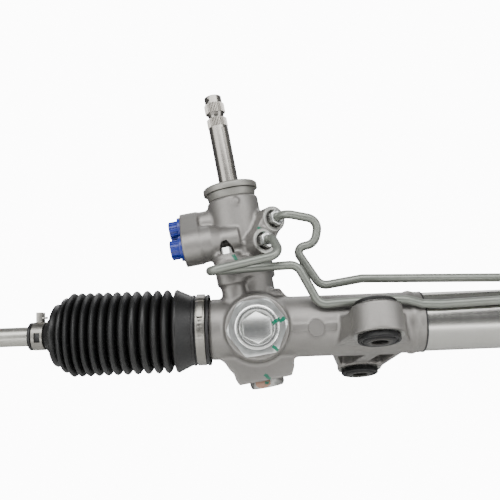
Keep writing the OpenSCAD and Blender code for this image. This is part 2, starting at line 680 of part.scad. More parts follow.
module input_shaft() color("silver") in_frame() at_pinion(0) difference() {
    union() {
        intersection() {
            translate([0, 0, head_s[0] + 6]) cylinder(r = shaft_r, h = 20);
            translate([0, 0, head_s[0] + 16]) cube([40, 2 * slot_half, 40], center = true);
        }
        difference() {
            translate([0, 0, head_s[1] + 0.3]) cylinder(r = rotor_r, h = sleeve_s[1] - head_s[1] - 1);
            for (i = [0 : valve_slots - 1]) rotate((i + 0.5) * 360 / valve_slots)
                translate([rotor_r, 0, sleeve_s[0] + 23]) cube([2.4, 4, 26], center = true);
        }
        translate([0, 0, sleeve_s[1] - 2]) cylinder(r = shaft_r, h = serration_z[0][0] + 2.2 - sleeve_s[1]);
        for (band = serration_z) serration_band(band[0], band[1]);
        translate([0, 0, serration_z[0][0]]) cylinder(r = 7.2, h = shaft_tip_s - serration_z[0][0] - 1);
        translate([0, 0, serration_z[0][1] + 2])
            cylinder(r1 = 7.2, r2 = 8.6, h = serration_z[1][0] - serration_z[0][1] - 2);
        translate([0, 0, serration_z[1][1] - 0.5]) cylinder(r = 8.4, h = shaft_tip_s - serration_z[1][1] - 0.3);
        translate([0, 0, shaft_tip_s - 0.8]) cylinder(r1 = 8.4, r2 = 7.6, h = 0.8);
    }
    // Long groove that shows which way round the shaft goes
    rotate(-62) translate([shaft_r + 0.6, 0, (valve_top_s + serration_z[0][0]) / 2 + 3])
        cube([2.6, 3.4, serration_z[0][0] - valve_top_s - 10], center = true);
    cylinder(r = torsion_bar_d / 2 + 0.4, h = shaft_tip_s - 12);
    cylinder(r = torsion_bar_d / 2 + 1.25 + running, h = shaft_tip_s - 2);
    rotate(-125) translate([0, 0, shaft_tip_s - 5]) rotate([0, 90, 0])
        translate([0, 0, -12]) cylinder(r = 1.5 + seat_gap, h = 24);
}

module torsion_bar() color("gray") in_frame() at_pinion(0) difference() {
    union() {
        translate([0, 0, head_s[0] - 11]) cylinder(d = torsion_bar_d, h = shaft_tip_s - 2 - head_s[0]);
        translate([0, 0, head_s[0] - 11.5]) cylinder(d = torsion_bar_d + 2.5, h = 15);
        translate([0, 0, shaft_tip_s - 14]) cylinder(d = torsion_bar_d + 2.5, h = 11.5);
    }
    rotate(-125) translate([0, 0, shaft_tip_s - 5]) rotate([0, 90, 0])
        translate([0, 0, -12]) cylinder(r = 1.5 + seat_gap, h = 24);
}
module torsion_pin() color("dimgray") in_frame() at_pinion(shaft_tip_s - 5) rotate(-125)
    rotate([0, 90, 0]) translate([0, 0, -6.8]) cylinder(r = 1.5, h = 13.6);

module valve_bearing() color("gray") in_frame() at_pinion(valve_bearing_s[0])
    ring(top_seat_r, shaft_r + running, valve_bearing_s[1] - valve_bearing_s[0]);
module input_shaft_seal() color("black") in_frame() at_pinion(valve_bearing_s[1] + 0.1)
    ring(top_seat_r, shaft_r + running, 3);
module input_circlip() color("gray") in_frame() at_pinion(valve_bearing_s[1] + 3.3) difference() {
    ring(top_seat_r, top_seat_r - 3, 1.4);
    translate([0, 10, -1]) translate([-3, 0, 0]) cube([6, 12, 4]);
}

// Transport plugs in the pressure and return ports
module port_plug(port) in_frame() at_pinion(0) translate([0, port[0], port[1]]) rotate([0, -90, 0]) {
    difference() {
        union() {
            translate([0, 0, port_reach + 0.02]) cylinder(r = 11.8, h = 3.4);
            translate([0, 0, port_reach + 3]) cylinder(r = 9, h = 9, $fn = 6);
            translate([0, 0, port_reach - 12]) cylinder(r = port_r - 0.05, h = 13);
        }
        translate([0, 0, port_reach + 6]) cylinder(r = 5, h = 20);
    }
}
module pressure_plug() color("royalblue") port_plug(low_port);
module return_plug() color("royalblue") port_plug(high_port);

// Steel lines: straight runs joined by round bends, swept as one tube
function unit(v) = v / norm(v);
function corner_turn(a, p, b) = acos(min(1, unit(p - a) * unit(b - p)));
// Bend radius at a corner, tighter where the straights beside it are short
function corner_bend(a, p, b, bend) =
    min(bend, 0.46 * min(norm(p - a), norm(b - p)) / tan(corner_turn(a, p, b) / 2));
function bend_points(a, p, b, bend) = let (
    turn = corner_turn(a, p, b),
    radius = corner_bend(a, p, b, bend),
    d = unit(p - a),
    q = unit(unit(b - p) - d * cos(turn)),
    from = p - d * radius * tan(turn / 2),
    steps = max(2, ceil(turn / 16)))
    [for (i = [0 : steps]) from + radius * (sin(turn * i / steps) * d + (1 - cos(turn * i / steps)) * q)];
function bent(points, bend) = let (n = len(points)) concat([points[0]],
    [for (i = [1 : n - 2]) each bend_points(points[i - 1], points[i], points[i + 1], bend)],
    [points[n - 1]]);

// Both lines end in the same rise and drop into a cylinder port
function port_approach(x, turn, from_r) = [round_point(x - 36, turn, from_r),
    round_point(x - 18, turn, approach_r), round_point(x, turn, approach_r),
    round_point(x, turn, port_boss_top - 5)];
function union_point(place, out) = valve_point(
    place[0] * cos(union_turn) + out * sin(union_turn),
    place[0] * sin(union_turn) - out * cos(union_turn), place[1]);

near_line_points = concat([union_point(low_union, union_face - 8), union_point(low_union, union_face + 12),
    [23.5, -40, 62.5], [-39, -42, 50], [-39, -25, 51.5], [38, -25, 54.5], [56, -27, 18], [73, -28.5, 19],
    [114, -29, 20.5], [132, -29, 19.5], [146, -27.5, 15.5], [163, -27.5, 14.5]],
    port_approach(near_port_x, near_port_turn, near_run_r));
far_line_points = concat([union_point(high_union, union_face - 8), union_point(high_union, union_face + 18),
    [60, -18, 95.5], [56, -12, 74.5], [37.5, -9, 71.5], [60, -5, 36], [98, -5, 41.5], [225, -5, 37.5],
    round_point(300, far_port_turn, far_run_r + far_lift)],
    port_approach(far_port_x, far_port_turn, far_run_r + far_lift));
line_sides = 10;

module near_line() color("darkgray") in_frame()
    sweep_tube(bent(near_line_points, line_bend), line_d / 2, line_sides, line_up);
module far_line() color("darkgray") in_frame()
    sweep_tube(bent(far_line_points, line_bend), line_d / 2, line_sides, line_up);

module union_nut() difference() {
    union() {
        cylinder(r = line_d / 2 + 1.1, h = 7);
        translate([0, 0, 5.6]) cylinder(r = union_nut_r, h = union_nut_h, $fn = 6);
    }
    translate([0, 0, -1]) cylinder(r = line_d / 2 + seat_gap, h = 30);
}
module union_nuts() color("gainsboro") in_frame() {
    for (place = [low_union, high_union]) at_pinion(0) at_union(place, union_face - 8.5) union_nut();
    for (port = [[near_port_x, near_port_turn], [far_port_x, far_port_turn]])
        rotate([port[1], 0, 0]) translate([port[0], 0, port_boss_top - 5.5]) union_nut();
}

// Rack
module rack_bar() color("gray") in_frame() difference() {
    along_x(rack_left) cylinder(r = rack_r, h = rack_right - rack_left);
    translate([-(rack_spaces + 0.8) * rack_pitch, rack_flat_y, -rack_d])
        cube([(rack_spaces + 0.8) * 2 * rack_pitch, rack_d, 2 * rack_d]);
    for (i = [-rack_spaces : rack_spaces]) translate([i * rack_pitch, 0, 0])
        rotate([0, tooth_slope, 0]) linear_extrude(2 * rack_d, center = true) rack_space();
    along_x(rack_left - 1) cylinder(r = 7, h = 26);
    along_x(rack_right - 25) cylinder(r = 7, h = 26);
}
// Space between two rack teeth, square to the teeth
module rack_space() {
    half = PI * tooth_module / 4 + mesh_gap / 2;
    deep = pinion_add + tip_gap;
    high = rack_add + 1;
    polygon([[-half - high * tan(pressure_angle), rack_datum_y + high],
        [-half + deep * tan(pressure_angle), rack_datum_y - deep],
        [half - deep * tan(pressure_angle), rack_datum_y - deep],
        [half + high * tan(pressure_angle), rack_datum_y + high]]);
}

module rack_piston() color("darkgray") in_frame() along_x(piston_x - piston_w / 2) difference() {
    ring(bore_r - 0.25, rack_r + seat_gap, piston_w);
    translate([0, 0, piston_w / 2 - 2.5]) ring(bore_r + 1, bore_r - 3, 5);
}
module piston_ring() color("black") in_frame() along_x(piston_x - 2.45)
    ring(bore_r - running, bore_r - 2.98, 4.9);

// Inner ball joints, drawn at the left end and mirrored for the right
module claw_washer() along_x(rack_left - washer_t + 0.01) ring(17, 7.1, washer_t - 0.02);
module claw_washers() color("gray") in_frame() {
    claw_washer();
    on_right() claw_washer();
}

lip_reach = 9;
seat_t = 2.4;
module socket() {
    face_x = rack_left - washer_t;
    open_r = sqrt(pow(ball_d / 2, 2) - pow(lip_reach, 2)) + 0.35;
    difference() {
        union() {
            along_x(ball_x - lip_reach - 3) cylinder(d = socket_d, h = face_x - ball_x + lip_reach + 3);
            along_x(face_x - 1) cylinder(r = 6.98, h = 24);
        }
        translate([ball_x, 0, 0]) sphere(r = ball_d / 2 + seat_t + seat_gap);
        along_x(ball_x - lip_reach) cylinder(r = ball_d / 2 + seat_t + seat_gap, h = lip_reach);
        along_x(ball_x - 40) cylinder(r = open_r, h = 40);
        along_x(ball_x - lip_reach - 3.01) cylinder(r1 = open_r + 3, r2 = open_r, h = 3);
        for (side = [-1, 1]) translate([face_x - 12, side * (socket_d / 2 + 8.5), 0])
            cube([16, 20, 60], center = true);
    }
}
module left_socket() color("dimgray") in_frame() socket();
module right_socket() color("dimgray") in_frame() on_right() socket();

module ball_seat() difference() {
    union() {
        translate([ball_x, 0, 0]) sphere(r = ball_d / 2 + seat_t);
        along_x(ball_x - lip_reach + 0.05) cylinder(r = ball_d / 2 + seat_t, h = lip_reach - 0.05);
    }
    translate([ball_x, 0, 0]) sphere(r = ball_d / 2 + running);
    along_x(ball_x - 40) cylinder(r = ball_d / 2 + running, h = 40);
    translate([ball_x - 60 - lip_reach + 0.05, -40, -40]) cube([60, 80, 80]);
}
module left_ball_seat() color("white") in_frame() ball_seat();
module right_ball_seat() color("white") in_frame() on_right() ball_seat();

module tie_rod() {
    end_x = ball_x - tie_rod_length;
    thread_l = 70;
    translate([ball_x, 0, 0]) sphere(d = ball_d);
    along_x(ball_x - 32) cylinder(r = 6.6, h = 32);
    along_x(ball_x - 40) cylinder(r1 = tie_rod_d / 2, r2 = 6.6, h = 8);
    along_x(end_x + thread_l) cylinder(d = tie_rod_d, h = tie_rod_length - thread_l - 40);
    along_x(end_x + 1.5) cylinder(d = tie_thread_d, h = thread_l);
    along_x(end_x) cylinder(r1 = tie_thread_d / 2 - 1.5, r2 = tie_thread_d / 2, h = 1.5);
}
module left_tie_rod() color("lightgray") in_frame() tie_rod();
module right_tie_rod() color("lightgray") in_frame() on_right() tie_rod();

// Boot: cuff, full folds, two smaller folds and the small cuff, as one thin turned wall
fold_peaks = [for (i = [0 : boot_folds - 1]) [boot_first - i * fold_pitch, boot_d / 2]];
small_peaks = [[boot_first - boot_folds * fold_pitch - 0.5, boot_d / 2 - 4.5],
    [boot_first - (boot_folds + 1) * fold_pitch, boot_d / 2 - 10.5]];
all_peaks = concat(fold_peaks, small_peaks);
function fold_wall(t) = [for (i = [0 : len(all_peaks) - 1]) let (p = all_peaks[i],
    low = i < len(all_peaks) - 2 ? boot_valley : boot_valley - 7 * (i - len(all_peaks) + 3)) each
    [[p[0] + 1.2, p[1] - t], [p[0] - 1.2, p[1] - t], [p[0] - fold_pitch / 2 + 0.8, low - t],
    [p[0] - fold_pitch / 2 - 0.8, low - t]]];
module boot() along_x(0) rotate_extrude() polygon(concat(
    [[neck_r + 0.02, cuff_out], [neck_r + 5.2, cuff_out], [neck_r + 5.2, cuff_out - 3],
    [neck_r + 4.4, cuff_out - 3.2], [neck_r + 4.4, cuff_in + 1], [neck_r + 6, cuff_in - 1],
    [boot_valley + 4, boot_first + 5]],
    [for (p = fold_wall(0)) [p[1], p[0]]],
    [[tie_rod_d / 2 + 4, boot_end + 14.6], [tie_rod_d / 2 + 3, boot_end + 14], [tie_rod_d / 2 + 3, boot_end],
    [tie_rod_d / 2 + 0.02, boot_end], [tie_rod_d / 2 + 0.02, boot_end + 15]],
    [for (i = [4 * len(all_peaks) - 1 : -1 : 0]) let (p = fold_wall(boot_wall)[i]) [p[1], p[0]]],
    [[boot_valley + 4 - boot_wall, boot_first + 5], [neck_r + 0.02, neck_end]]));
module left_boot() color([0.12, 0.12, 0.12]) in_frame() boot();
module right_boot() color([0.12, 0.12, 0.12]) in_frame() on_right() boot();

module boot_clamp() {
    band = 7;
    along_x(cuff_in + 2.5) ring(neck_r + 5.2, neck_r + 4.42, band);
    rotate([64, 0, 0]) translate([cuff_in + 2.5, -5, neck_r + 5]) cube([band, 10, 1.6]);
}
module left_boot_clamp() color("silver") in_frame() boot_clamp();
module right_boot_clamp() color("silver") in_frame() on_right() boot_clamp();

module boot_clip() {
    wide = 8;
    along_x(clip_x - wide / 2) ring(tie_rod_d / 2 + 4.2, tie_rod_d / 2 + 3.02, wide);
    translate([clip_x - 3, -4, tie_rod_d / 2 + 3.5]) cube([6, 1.2, 8]);
    translate([clip_x - 3, 3, tie_rod_d / 2 + 3.5]) cube([6, 1.2, 8]);
}
module left_boot_clip() color("silver") in_frame() boot_clip();
module right_boot_clip() color("silver") in_frame() on_right() boot_clip();

// Mounting bushes
module bush_rubber(m) in_frame() at_bracket() translate([bush_x, m, -bush_boss_h]) difference() {
    union() {
        translate([0, 0, -bush_lip_t]) cylinder(d1 = bush_lip_d - 2, d2 = bush_lip_d, h = 1.2);
        translate([0, 0, -bush_lip_t + 1.2]) cylinder(d = bush_lip_d, h = bush_lip_t - 1.22);
        translate([0, 0, -1]) cylinder(d = bush_seat_d - 0.04, h = bush_boss_h + 2);
        translate([0, 0, bush_boss_h + 0.02]) cylinder(d = bush_lip_d, h = bush_lip_t - 1.2);
        translate([0, 0, bush_boss_h + bush_lip_t - 1.2]) cylinder(d1 = bush_lip_d, d2 = bush_lip_d - 2, h = 1.2);
    }
    translate([0, 0, -20]) cylinder(d = bush_sleeve_d + 0.04, h = 80);
}
module bush_sleeve(m) in_frame() at_bracket() translate([bush_x, m, bush_mid_n - bush_half])
    ring(bush_sleeve_d / 2, bush_bore_d / 2, 2 * bush_half);
module front_bush_rubber() color([0.1, 0.1, 0.1]) bush_rubber(front_bush_m);
module rear_bush_rubber() color([0.1, 0.1, 0.1]) bush_rubber(rear_bush_m);
module front_bush_sleeve() color("gray") bush_sleeve(front_bush_m);
module rear_bush_sleeve() color("gray") bush_sleeve(rear_bush_m);

// Right saddle mount
module saddle_outline(grow) {
    r = cylinder_r + saddle_rubber_t + grow;
    intersection() {
        union() {
            circle(r = r);
            translate([-r, mount_n]) square([2 * r, 0.4 - mount_n]);
        }
        translate([-2 * r, mount_n]) square(4 * r);
    }
}
module at_saddle() at_bracket() translate([saddle_x + saddle_w / 2, 0, 0]) rotate([90, 0, -90]) children();
module saddle_rubber() color([0.1, 0.1, 0.1]) in_frame() at_saddle() translate([0, 0, -1]) difference() {
    linear_extrude(saddle_w + 2) saddle_outline(-0.02);
    translate([0, 0, -1]) cylinder(r = cylinder_r + 0.02, h = saddle_w + 4);
}
module saddle_bracket() color("dimgray") in_frame() at_saddle() difference() {
    linear_extrude(saddle_w) difference() {
        union() {
            saddle_outline(saddle_steel_t);
            translate([-saddle_span / 2 - 12, mount_n]) square([saddle_span + 24, 3]);
        }
        saddle_outline(0);
    }
    for (side = [-1, 1]) translate([side * saddle_span / 2, mount_n - 1, saddle_w / 2])
        rotate([-90, 0, 0]) cylinder(d = saddle_hole_d, h = 8);
}

gear_housing();
valve_housing();
valve_housing_bolts();
dust_cover();
cylinder_tube();
inner_seal_holder();
rack_bulkhead();
rack_seals();
bulkhead_snap_ring();
rack_guide();
guide_liner();
guide_o_ring();
guide_spring();
guide_cap();
guide_lock_nut();
bottom_plug();
lower_bearing_race();
lower_bearing_balls();
lower_bearing_inner();
pinion_needle_bearing();
pinion_seal();
pinion_nut();
pinion();
valve_sleeve();
sleeve_rings();
input_shaft();
torsion_bar();
torsion_pin();
valve_bearing();
input_shaft_seal();
input_circlip();
pressure_plug();
return_plug();
near_line();
far_line();
union_nuts();
rack_bar();
rack_piston();
piston_ring();
claw_washers();
left_socket();
right_socket();
left_ball_seat();
right_ball_seat();
left_tie_rod();
right_tie_rod();
left_boot();
right_boot();
left_boot_clamp();
right_boot_clamp();
left_boot_clip();
right_boot_clip();
front_bush_rubber();
front_bush_sleeve();
rear_bush_rubber();
rear_bush_sleeve();
saddle_rubber();
saddle_bracket();
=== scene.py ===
# %% [markdown]
# # A hydraulic steering gear, dressed for a studio picture
#
# The CAD model arrives as a fixed frame: every piece already has its size and place. This script gives each
# visible piece the surface and the small forms that the real one has: a blasted casting with soft corners,
# plated nuts, coated steel lines, a moulded rubber bellows and its clamps. It starts by loading the frame.

# %% The frame
import json
import math

import bpy
from mathutils import Matrix, Vector


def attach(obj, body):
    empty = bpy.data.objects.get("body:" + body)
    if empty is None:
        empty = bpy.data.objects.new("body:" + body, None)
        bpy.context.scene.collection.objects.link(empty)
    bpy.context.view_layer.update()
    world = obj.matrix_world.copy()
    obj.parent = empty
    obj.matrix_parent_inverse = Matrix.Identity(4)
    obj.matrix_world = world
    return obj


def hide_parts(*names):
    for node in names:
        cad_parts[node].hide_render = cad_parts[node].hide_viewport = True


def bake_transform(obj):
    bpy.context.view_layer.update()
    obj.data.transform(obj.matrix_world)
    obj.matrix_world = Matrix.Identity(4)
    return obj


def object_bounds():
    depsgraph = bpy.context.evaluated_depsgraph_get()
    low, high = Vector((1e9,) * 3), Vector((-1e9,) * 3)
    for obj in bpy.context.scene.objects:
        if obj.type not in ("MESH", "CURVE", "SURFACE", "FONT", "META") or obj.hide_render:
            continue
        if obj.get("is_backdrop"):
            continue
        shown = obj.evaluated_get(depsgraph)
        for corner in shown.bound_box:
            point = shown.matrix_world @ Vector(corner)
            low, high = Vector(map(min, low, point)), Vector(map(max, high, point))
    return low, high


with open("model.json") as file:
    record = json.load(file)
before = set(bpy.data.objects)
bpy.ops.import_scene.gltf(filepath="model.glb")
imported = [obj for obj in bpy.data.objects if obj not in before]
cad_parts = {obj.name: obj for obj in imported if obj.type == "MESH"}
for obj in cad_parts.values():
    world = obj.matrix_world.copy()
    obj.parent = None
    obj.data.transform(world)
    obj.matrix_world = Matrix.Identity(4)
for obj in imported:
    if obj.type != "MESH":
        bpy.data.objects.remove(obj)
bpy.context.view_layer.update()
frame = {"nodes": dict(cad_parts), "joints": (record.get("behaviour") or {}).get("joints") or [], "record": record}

nodes = frame["nodes"]
joints = {joint["name"]: joint for joint in frame["joints"]}
mounts = {mount["name"]: mount for mount in frame["record"]["mounts"]}
print("CAD nodes:", len(nodes))

# %% [markdown]
# The part is easiest to think of from the middle of the rack: x along it, y away from the viewer, z up. Two
# places in the frame give that point: the pinion's joint gives x, and the tie rod's thread gives y and z.
# Every size below is in millimetres, as on a drawing, and becomes metres here. A local frame is a place with
# a turn, and its z axis is the axis that a piece is turned or bored about. The x of a left-hand piece and
# the x of its right-hand twin always add up to the same sum.

# %% Places on the gear
MM = 0.001
SIDE_SUM = 425
rack_axis = mounts["left_tie_rod_thread"]["pos_m"]
pinion_pos = joints["pinion_turn"]["pos_m"]
ORIGIN = Vector((pinion_pos[0], rack_axis[1], rack_axis[2]))


def spot(x, y, z):
    """A point given in rack millimetres, in the row's metres."""
    return ORIGIN + Vector((x, y, z)) * MM


def place(at, *turns):
    """A local frame at a rack point, turned about its own axes in the order given, in degrees."""
    matrix = Matrix.Translation(spot(*at))
    for degrees, axis in turns:
        matrix = matrix @ Matrix.Rotation(math.radians(degrees), 4, axis)
    return matrix


def shifted(matrix, x, y, z):
    """The local frame moved along its own axes, in millimetres."""
    return matrix @ Matrix.Translation(Vector((x, y, z)) * MM)


print("rack point at", [round(value, 4) for value in ORIGIN])

# %% [markdown]
# The camera looks at the gear from the front, a little from below, with a slight roll. Where it stands and
# how long its lens is were worked out from the tube's edges and the round faces in the reference picture. The
# lens is given as the focal length in pixels of a 500 pixel wide picture.

# %% Camera
CAMERA_AT = (-3.5, -604, -7)
CAMERA_PITCH, CAMERA_ROLL = 7.5, 2.2
FOCAL_PIXELS, PICTURE_PIXELS, SENSOR_MM = 652, 500, 36

bpy.ops.object.camera_add()
camera = bpy.context.object
camera.name = "camera"
camera.data.sensor_width = SENSOR_MM
camera.data.lens = FOCAL_PIXELS / PICTURE_PIXELS * SENSOR_MM
camera.data.clip_start = 0.01
camera.matrix_world = place(CAMERA_AT, (90 + CAMERA_PITCH, "X"), (-CAMERA_ROLL, "Z"))
bpy.context.scene.camera = camera
print("lens", round(camera.data.lens, 1), "mm")

# %% [markdown]
# Colours are written here as a screen shows them, in sRGB, and one function turns them into the linear light
# that Blender counts in. Another small function adds a shader node with its settings and links, for the
# surroundings and for every material below.

# %% Colours and shader nodes
def linear(code):
    """An sRGB hex colour as linear red, green, blue and alpha."""
    parts = [int(code[i:i + 2], 16) / 255 for i in (1, 3, 5)]
    return [c / 12.92 if c <= 0.04045 else ((c + 0.055) / 1.055) ** 2.4 for c in parts] + [1.0]


def connect(tree, node, inputs):
    """Each input gets a plain value, or a link from another node's output."""
    for name, value in inputs.items():
        if isinstance(value, bpy.types.NodeSocket):
            tree.links.new(value, node.inputs[name])
        else:
            node.inputs[name].default_value = value


def add_node(tree, kind, inputs=None, **settings):
    """Adds a node with its settings, its values and its links."""
    node = tree.nodes.new(kind)
    for name, value in settings.items():
        setattr(node, name, value)
    connect(tree, node, inputs or {})
    return node


print("middle grey is", round(linear("#808080")[0], 3), "in linear light")

# %% [markdown]
# Studio pictures of metal are made by what the metal mirrors. The surroundings here fade from pale above to
# dark below, and the dark lower half gives the dark band under the tubes. Rays straight from the camera see
# a near-white background instead.

# %% Surroundings
FADE_FROM, FADE_TO, DARK_BELOW, PALE_ABOVE = -0.5, 0.6, 0.05, 0.42
BACKGROUND_STRENGTH = 12.0

world = bpy.data.worlds.new("studio")
bpy.context.scene.world = world
world.use_nodes = True
sky = world.node_tree
direction = add_node(sky, "ShaderNodeTexCoord").outputs["Generated"]
height = add_node(sky, "ShaderNodeSeparateXYZ", {"Vector": direction}).outputs["Z"]
level = add_node(sky, "ShaderNodeMapRange", {
    "Value": height, "From Min": FADE_FROM, "From Max": FADE_TO, "To Min": DARK_BELOW, "To Max": PALE_ABOVE})
fade = add_node(sky, "ShaderNodeBackground", {
    "Color": linear("#f4f6f8"), "Strength": level.outputs["Result"]})
backdrop = sky.nodes["Background"]
connect(sky, backdrop, {"Color": linear("#ffffff"), "Strength": BACKGROUND_STRENGTH})
seen = add_node(sky, "ShaderNodeLightPath").outputs["Is Camera Ray"]
mixed = add_node(sky, "ShaderNodeMixShader", {0: seen, 1: fade.outputs[0], 2: backdrop.outputs[0]})
connect(sky, sky.nodes["World Output"], {"Surface": mixed.outputs[0]})
print("surroundings fade from", DARK_BELOW, "to", PALE_ABOVE)

# %% [markdown]
# A wide softbox overhead gives the bright band on every round part, one at each side fills in, and a low
# strip lifts the undersides a little. One more stands behind, because the gear is looked at from there too.
# Each is given by the point where it stands, the point that it faces, its width in metres, its power and,
# where it isn't square, its height.

# %% Softboxes
def light(name, at, towards, size, power, tall=None):
    """A rectangular softbox at a rack point, facing another."""
    bpy.ops.object.light_add(type="AREA")
    lamp = bpy.context.object
    lamp.name = name
    lamp.data.energy = power
    lamp.data.shape = "RECTANGLE"
    lamp.data.size, lamp.data.size_y = size, tall or size
    aim = (spot(*towards) - spot(*at)).to_track_quat("-Z", "Y")
    lamp.matrix_world = Matrix.Translation(spot(*at)) @ aim.to_matrix().to_4x4()


light("softbox_above", (60, -560, 560), (60, 0, 20), 1.2, 13.5, 0.4)
light("softbox_left", (-760, -620, 150), (0, 0, 40), 0.7, 8)
light("softbox_right", (900, -560, 160), (150, 0, 20), 0.6, 6)
light("softbox_behind", (200, 800, 1000), (200, 0, 0), 1.4, 9, 0.7)
light("low_strip", (150, -620, -280), (150, 0, 0), 1.3, 3, 0.12)
print("softboxes", len(bpy.data.lights))

# %% [markdown]
# The gear floats over a sheet of pale paper, as a cut-out picture shows it. The sheet ends behind the gear,
# below what the camera sees, so the background stays plain there and the floor shows in other views.

# %% Floor
FLOOR_DROP, FLOOR_BACK, FLOOR_FRONT, FLOOR_WIDE = 320, 550, -40000, 80000
bpy.ops.object.select_all(action="DESELECT")
floor_middle = spot(SIDE_SUM / 2, (FLOOR_BACK + FLOOR_FRONT) / 2, -FLOOR_DROP)
bpy.ops.mesh.primitive_plane_add(size=MM, location=floor_middle)
bpy.ops.transform.resize(value=(FLOOR_WIDE, FLOOR_BACK - FLOOR_FRONT, 1))
floor = bpy.context.object
floor.name = "floor"
floor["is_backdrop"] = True
print("floor", FLOOR_DROP, "mm under the rack")

# %% [markdown]
# ## Materials
#
# A casting of aluminium that was blasted with grit is grey and dull: its tiny dents scatter the light, so it
# has no clear mirror image, and its tone drifts a little from place to place. One noise makes the dents and
# the change of gloss with them, and a much wider one makes the drift. The real dents are about a tenth of a
# millimetre across, far finer than a pixel, so they are drawn as coarse as the picture can show.

# %% Cast aluminium
GRIT_MM, GRIT_DEPTH_MM, CLOUD_MM = 0.9, 0.12, 35
CAST_METALLIC = 0.8
NOISE_SPAN = {"From Min": 0.3, "From Max": 0.7}


def per_mm(size):
    """The scale of a pattern whose grain is that many millimetres across."""
    return 1 / (size * MM)


def new_material(name):
    material = bpy.data.materials.new(name)
    material.use_nodes = True
    tree = material.node_tree
    where = add_node(tree, "ShaderNodeTexCoord").outputs["Object"]
    return material, tree, tree.nodes["Principled BSDF"], where


def cast_aluminium(name, light_tone="#7c7a77", dark_tone="#696764"):
    material, tree, shader, where = new_material(name)
    grit = add_node(tree, "ShaderNodeTexNoise", {
        "Vector": where, "Scale": per_mm(GRIT_MM), "Detail": 3.0}).outputs["Fac"]
    cloud = add_node(tree, "ShaderNodeTexNoise", {
        "Vector": where, "Scale": per_mm(CLOUD_MM), "Detail": 4.0}).outputs["Fac"]
    tone = add_node(tree, "ShaderNodeMix", {
        0: cloud, 6: linear(dark_tone), 7: linear(light_tone)}, data_type="RGBA")
    gloss = add_node(tree, "ShaderNodeMapRange", {
        "Value": grit, "To Min": 0.42, "To Max": 0.58, **NOISE_SPAN})
    dents = add_node(tree, "ShaderNodeBump", {
        "Height": grit, "Distance": GRIT_DEPTH_MM * MM, "Strength": 0.5})
    connect(tree, shader, {"Base Color": tone.outputs[2], "Roughness": gloss.outputs["Result"],
                           "Normal": dents.outputs["Normal"], "Metallic": CAST_METALLIC})
    return material


# A lathe-turned cover in the same alloy, blasted more lightly: paler and a touch warmer than the housings.
cover_casting = cast_aluminium("blasted aluminium cover", "#807f7a", "#706f6a")
print("grit drawn", GRIT_MM, "mm across")

# %% [markdown]
# Green paint marks were brushed on as each joint was tightened and checked. They lie over whatever finish is
# there, so they are mixed in by place: a mark is a box with a middle, a turn and three half sizes, and noise
# makes its edge uneven, as a brush leaves it. Paint is no metal, so the metal is taken away under it.

# %% Paint marks on the castings
PAINT_GREEN, BRUSH_EDGE_MM, RAGGED = linear("#00503c"), 2.2, 0.25
MARK_EDGE = {"From Min": 1.0, "From Max": 0.85}


def painted(material, marks):
    """Brushes paint marks over a finished metal."""
    tree = material.node_tree
    shader = tree.nodes["Principled BSDF"]
    where = add_node(tree, "ShaderNodeTexCoord").outputs["Object"]
    bristles = add_node(tree, "ShaderNodeTexNoise", {
        "Vector": where, "Scale": per_mm(BRUSH_EDGE_MM), "Detail": 2.0}).outputs["Fac"]
    ragged = add_node(tree, "ShaderNodeMapRange", {
        "Value": bristles, "To Min": -RAGGED, "To Max": RAGGED, **NOISE_SPAN}).outputs["Result"]
    inside = None
    for middle, turn, half in marks:
        local = add_node(tree, "ShaderNodeMapping", {
            "Vector": where, "Location": spot(*middle), "Rotation": (0, math.radians(turn), 0),
            "Scale": Vector(half) * MM}, vector_type="TEXTURE").outputs[0]
        reach = add_node(tree, "ShaderNodeVectorMath", {0: local}, operation="ABSOLUTE").outputs[0]
        x, y, z = add_node(tree, "ShaderNodeSeparateXYZ", {0: reach}).outputs
        wide = add_node(tree, "ShaderNodeMath", {0: x, 1: y}, operation="MAXIMUM").outputs[0]
        far = add_node(tree, "ShaderNodeMath", {0: wide, 1: z}, operation="MAXIMUM").outputs[0]
        edge = add_node(tree, "ShaderNodeMath", {0: far, 1: ragged}, operation="ADD").outputs[0]
        mark = add_node(tree, "ShaderNodeMapRange", {"Value": edge, **MARK_EDGE}).outputs[0]
        if inside is None:
            inside = mark
        else:
            inside = add_node(tree, "ShaderNodeMath", {0: inside, 1: mark}, operation="MAXIMUM").outputs[0]
    metal = shader.inputs["Base Color"].links[0].from_socket
    colour = add_node(tree, "ShaderNodeMix", {0: inside, 6: metal, 7: PAINT_GREEN}, data_type="RGBA")
    bare = add_node(tree, "ShaderNodeMath", {0: shader.inputs["Metallic"].default_value, 1: inside},
                    operation="SUBTRACT", use_clamp=True)
    connect(tree, shader, {"Base Color": colour.outputs[2], "Metallic": bare.outputs[0]})
    return material


# Cast and blasted: a flat grey with soft shading and no mirror image. One mark crosses from the tower on to
# the valve housing, so both castings have it.
BOLT_MARK = ((-16.5, -24, 62.5), 57, (5.0, 14, 1.6))
casting = painted(cast_aluminium("blasted cast aluminium, gear housing"),
                  [((7.5, 0, -43.5), 42, (3.6, 30, 1.5)), BOLT_MARK])
valve_casting = painted(cast_aluminium("blasted cast aluminium, valve housing"),
                        [BOLT_MARK, ((8.0, -22, 88.5), 35, (4.5, 16, 1.3))])
print("paint edge drawn", BRUSH_EDGE_MM, "mm uneven")

# %% [markdown]
# Turned, drawn and ground metal keeps fine rings from the tool, all running round its axis. They are far
# finer than a pixel, so they show only as a slight change of tone and gloss along it, and are drawn as wide
# as that needs. The pattern is one noise, squeezed along the axis and long across it.

# %% Turned, drawn and ground metals
RING_MM, ACROSS_MM = 2.5, 40


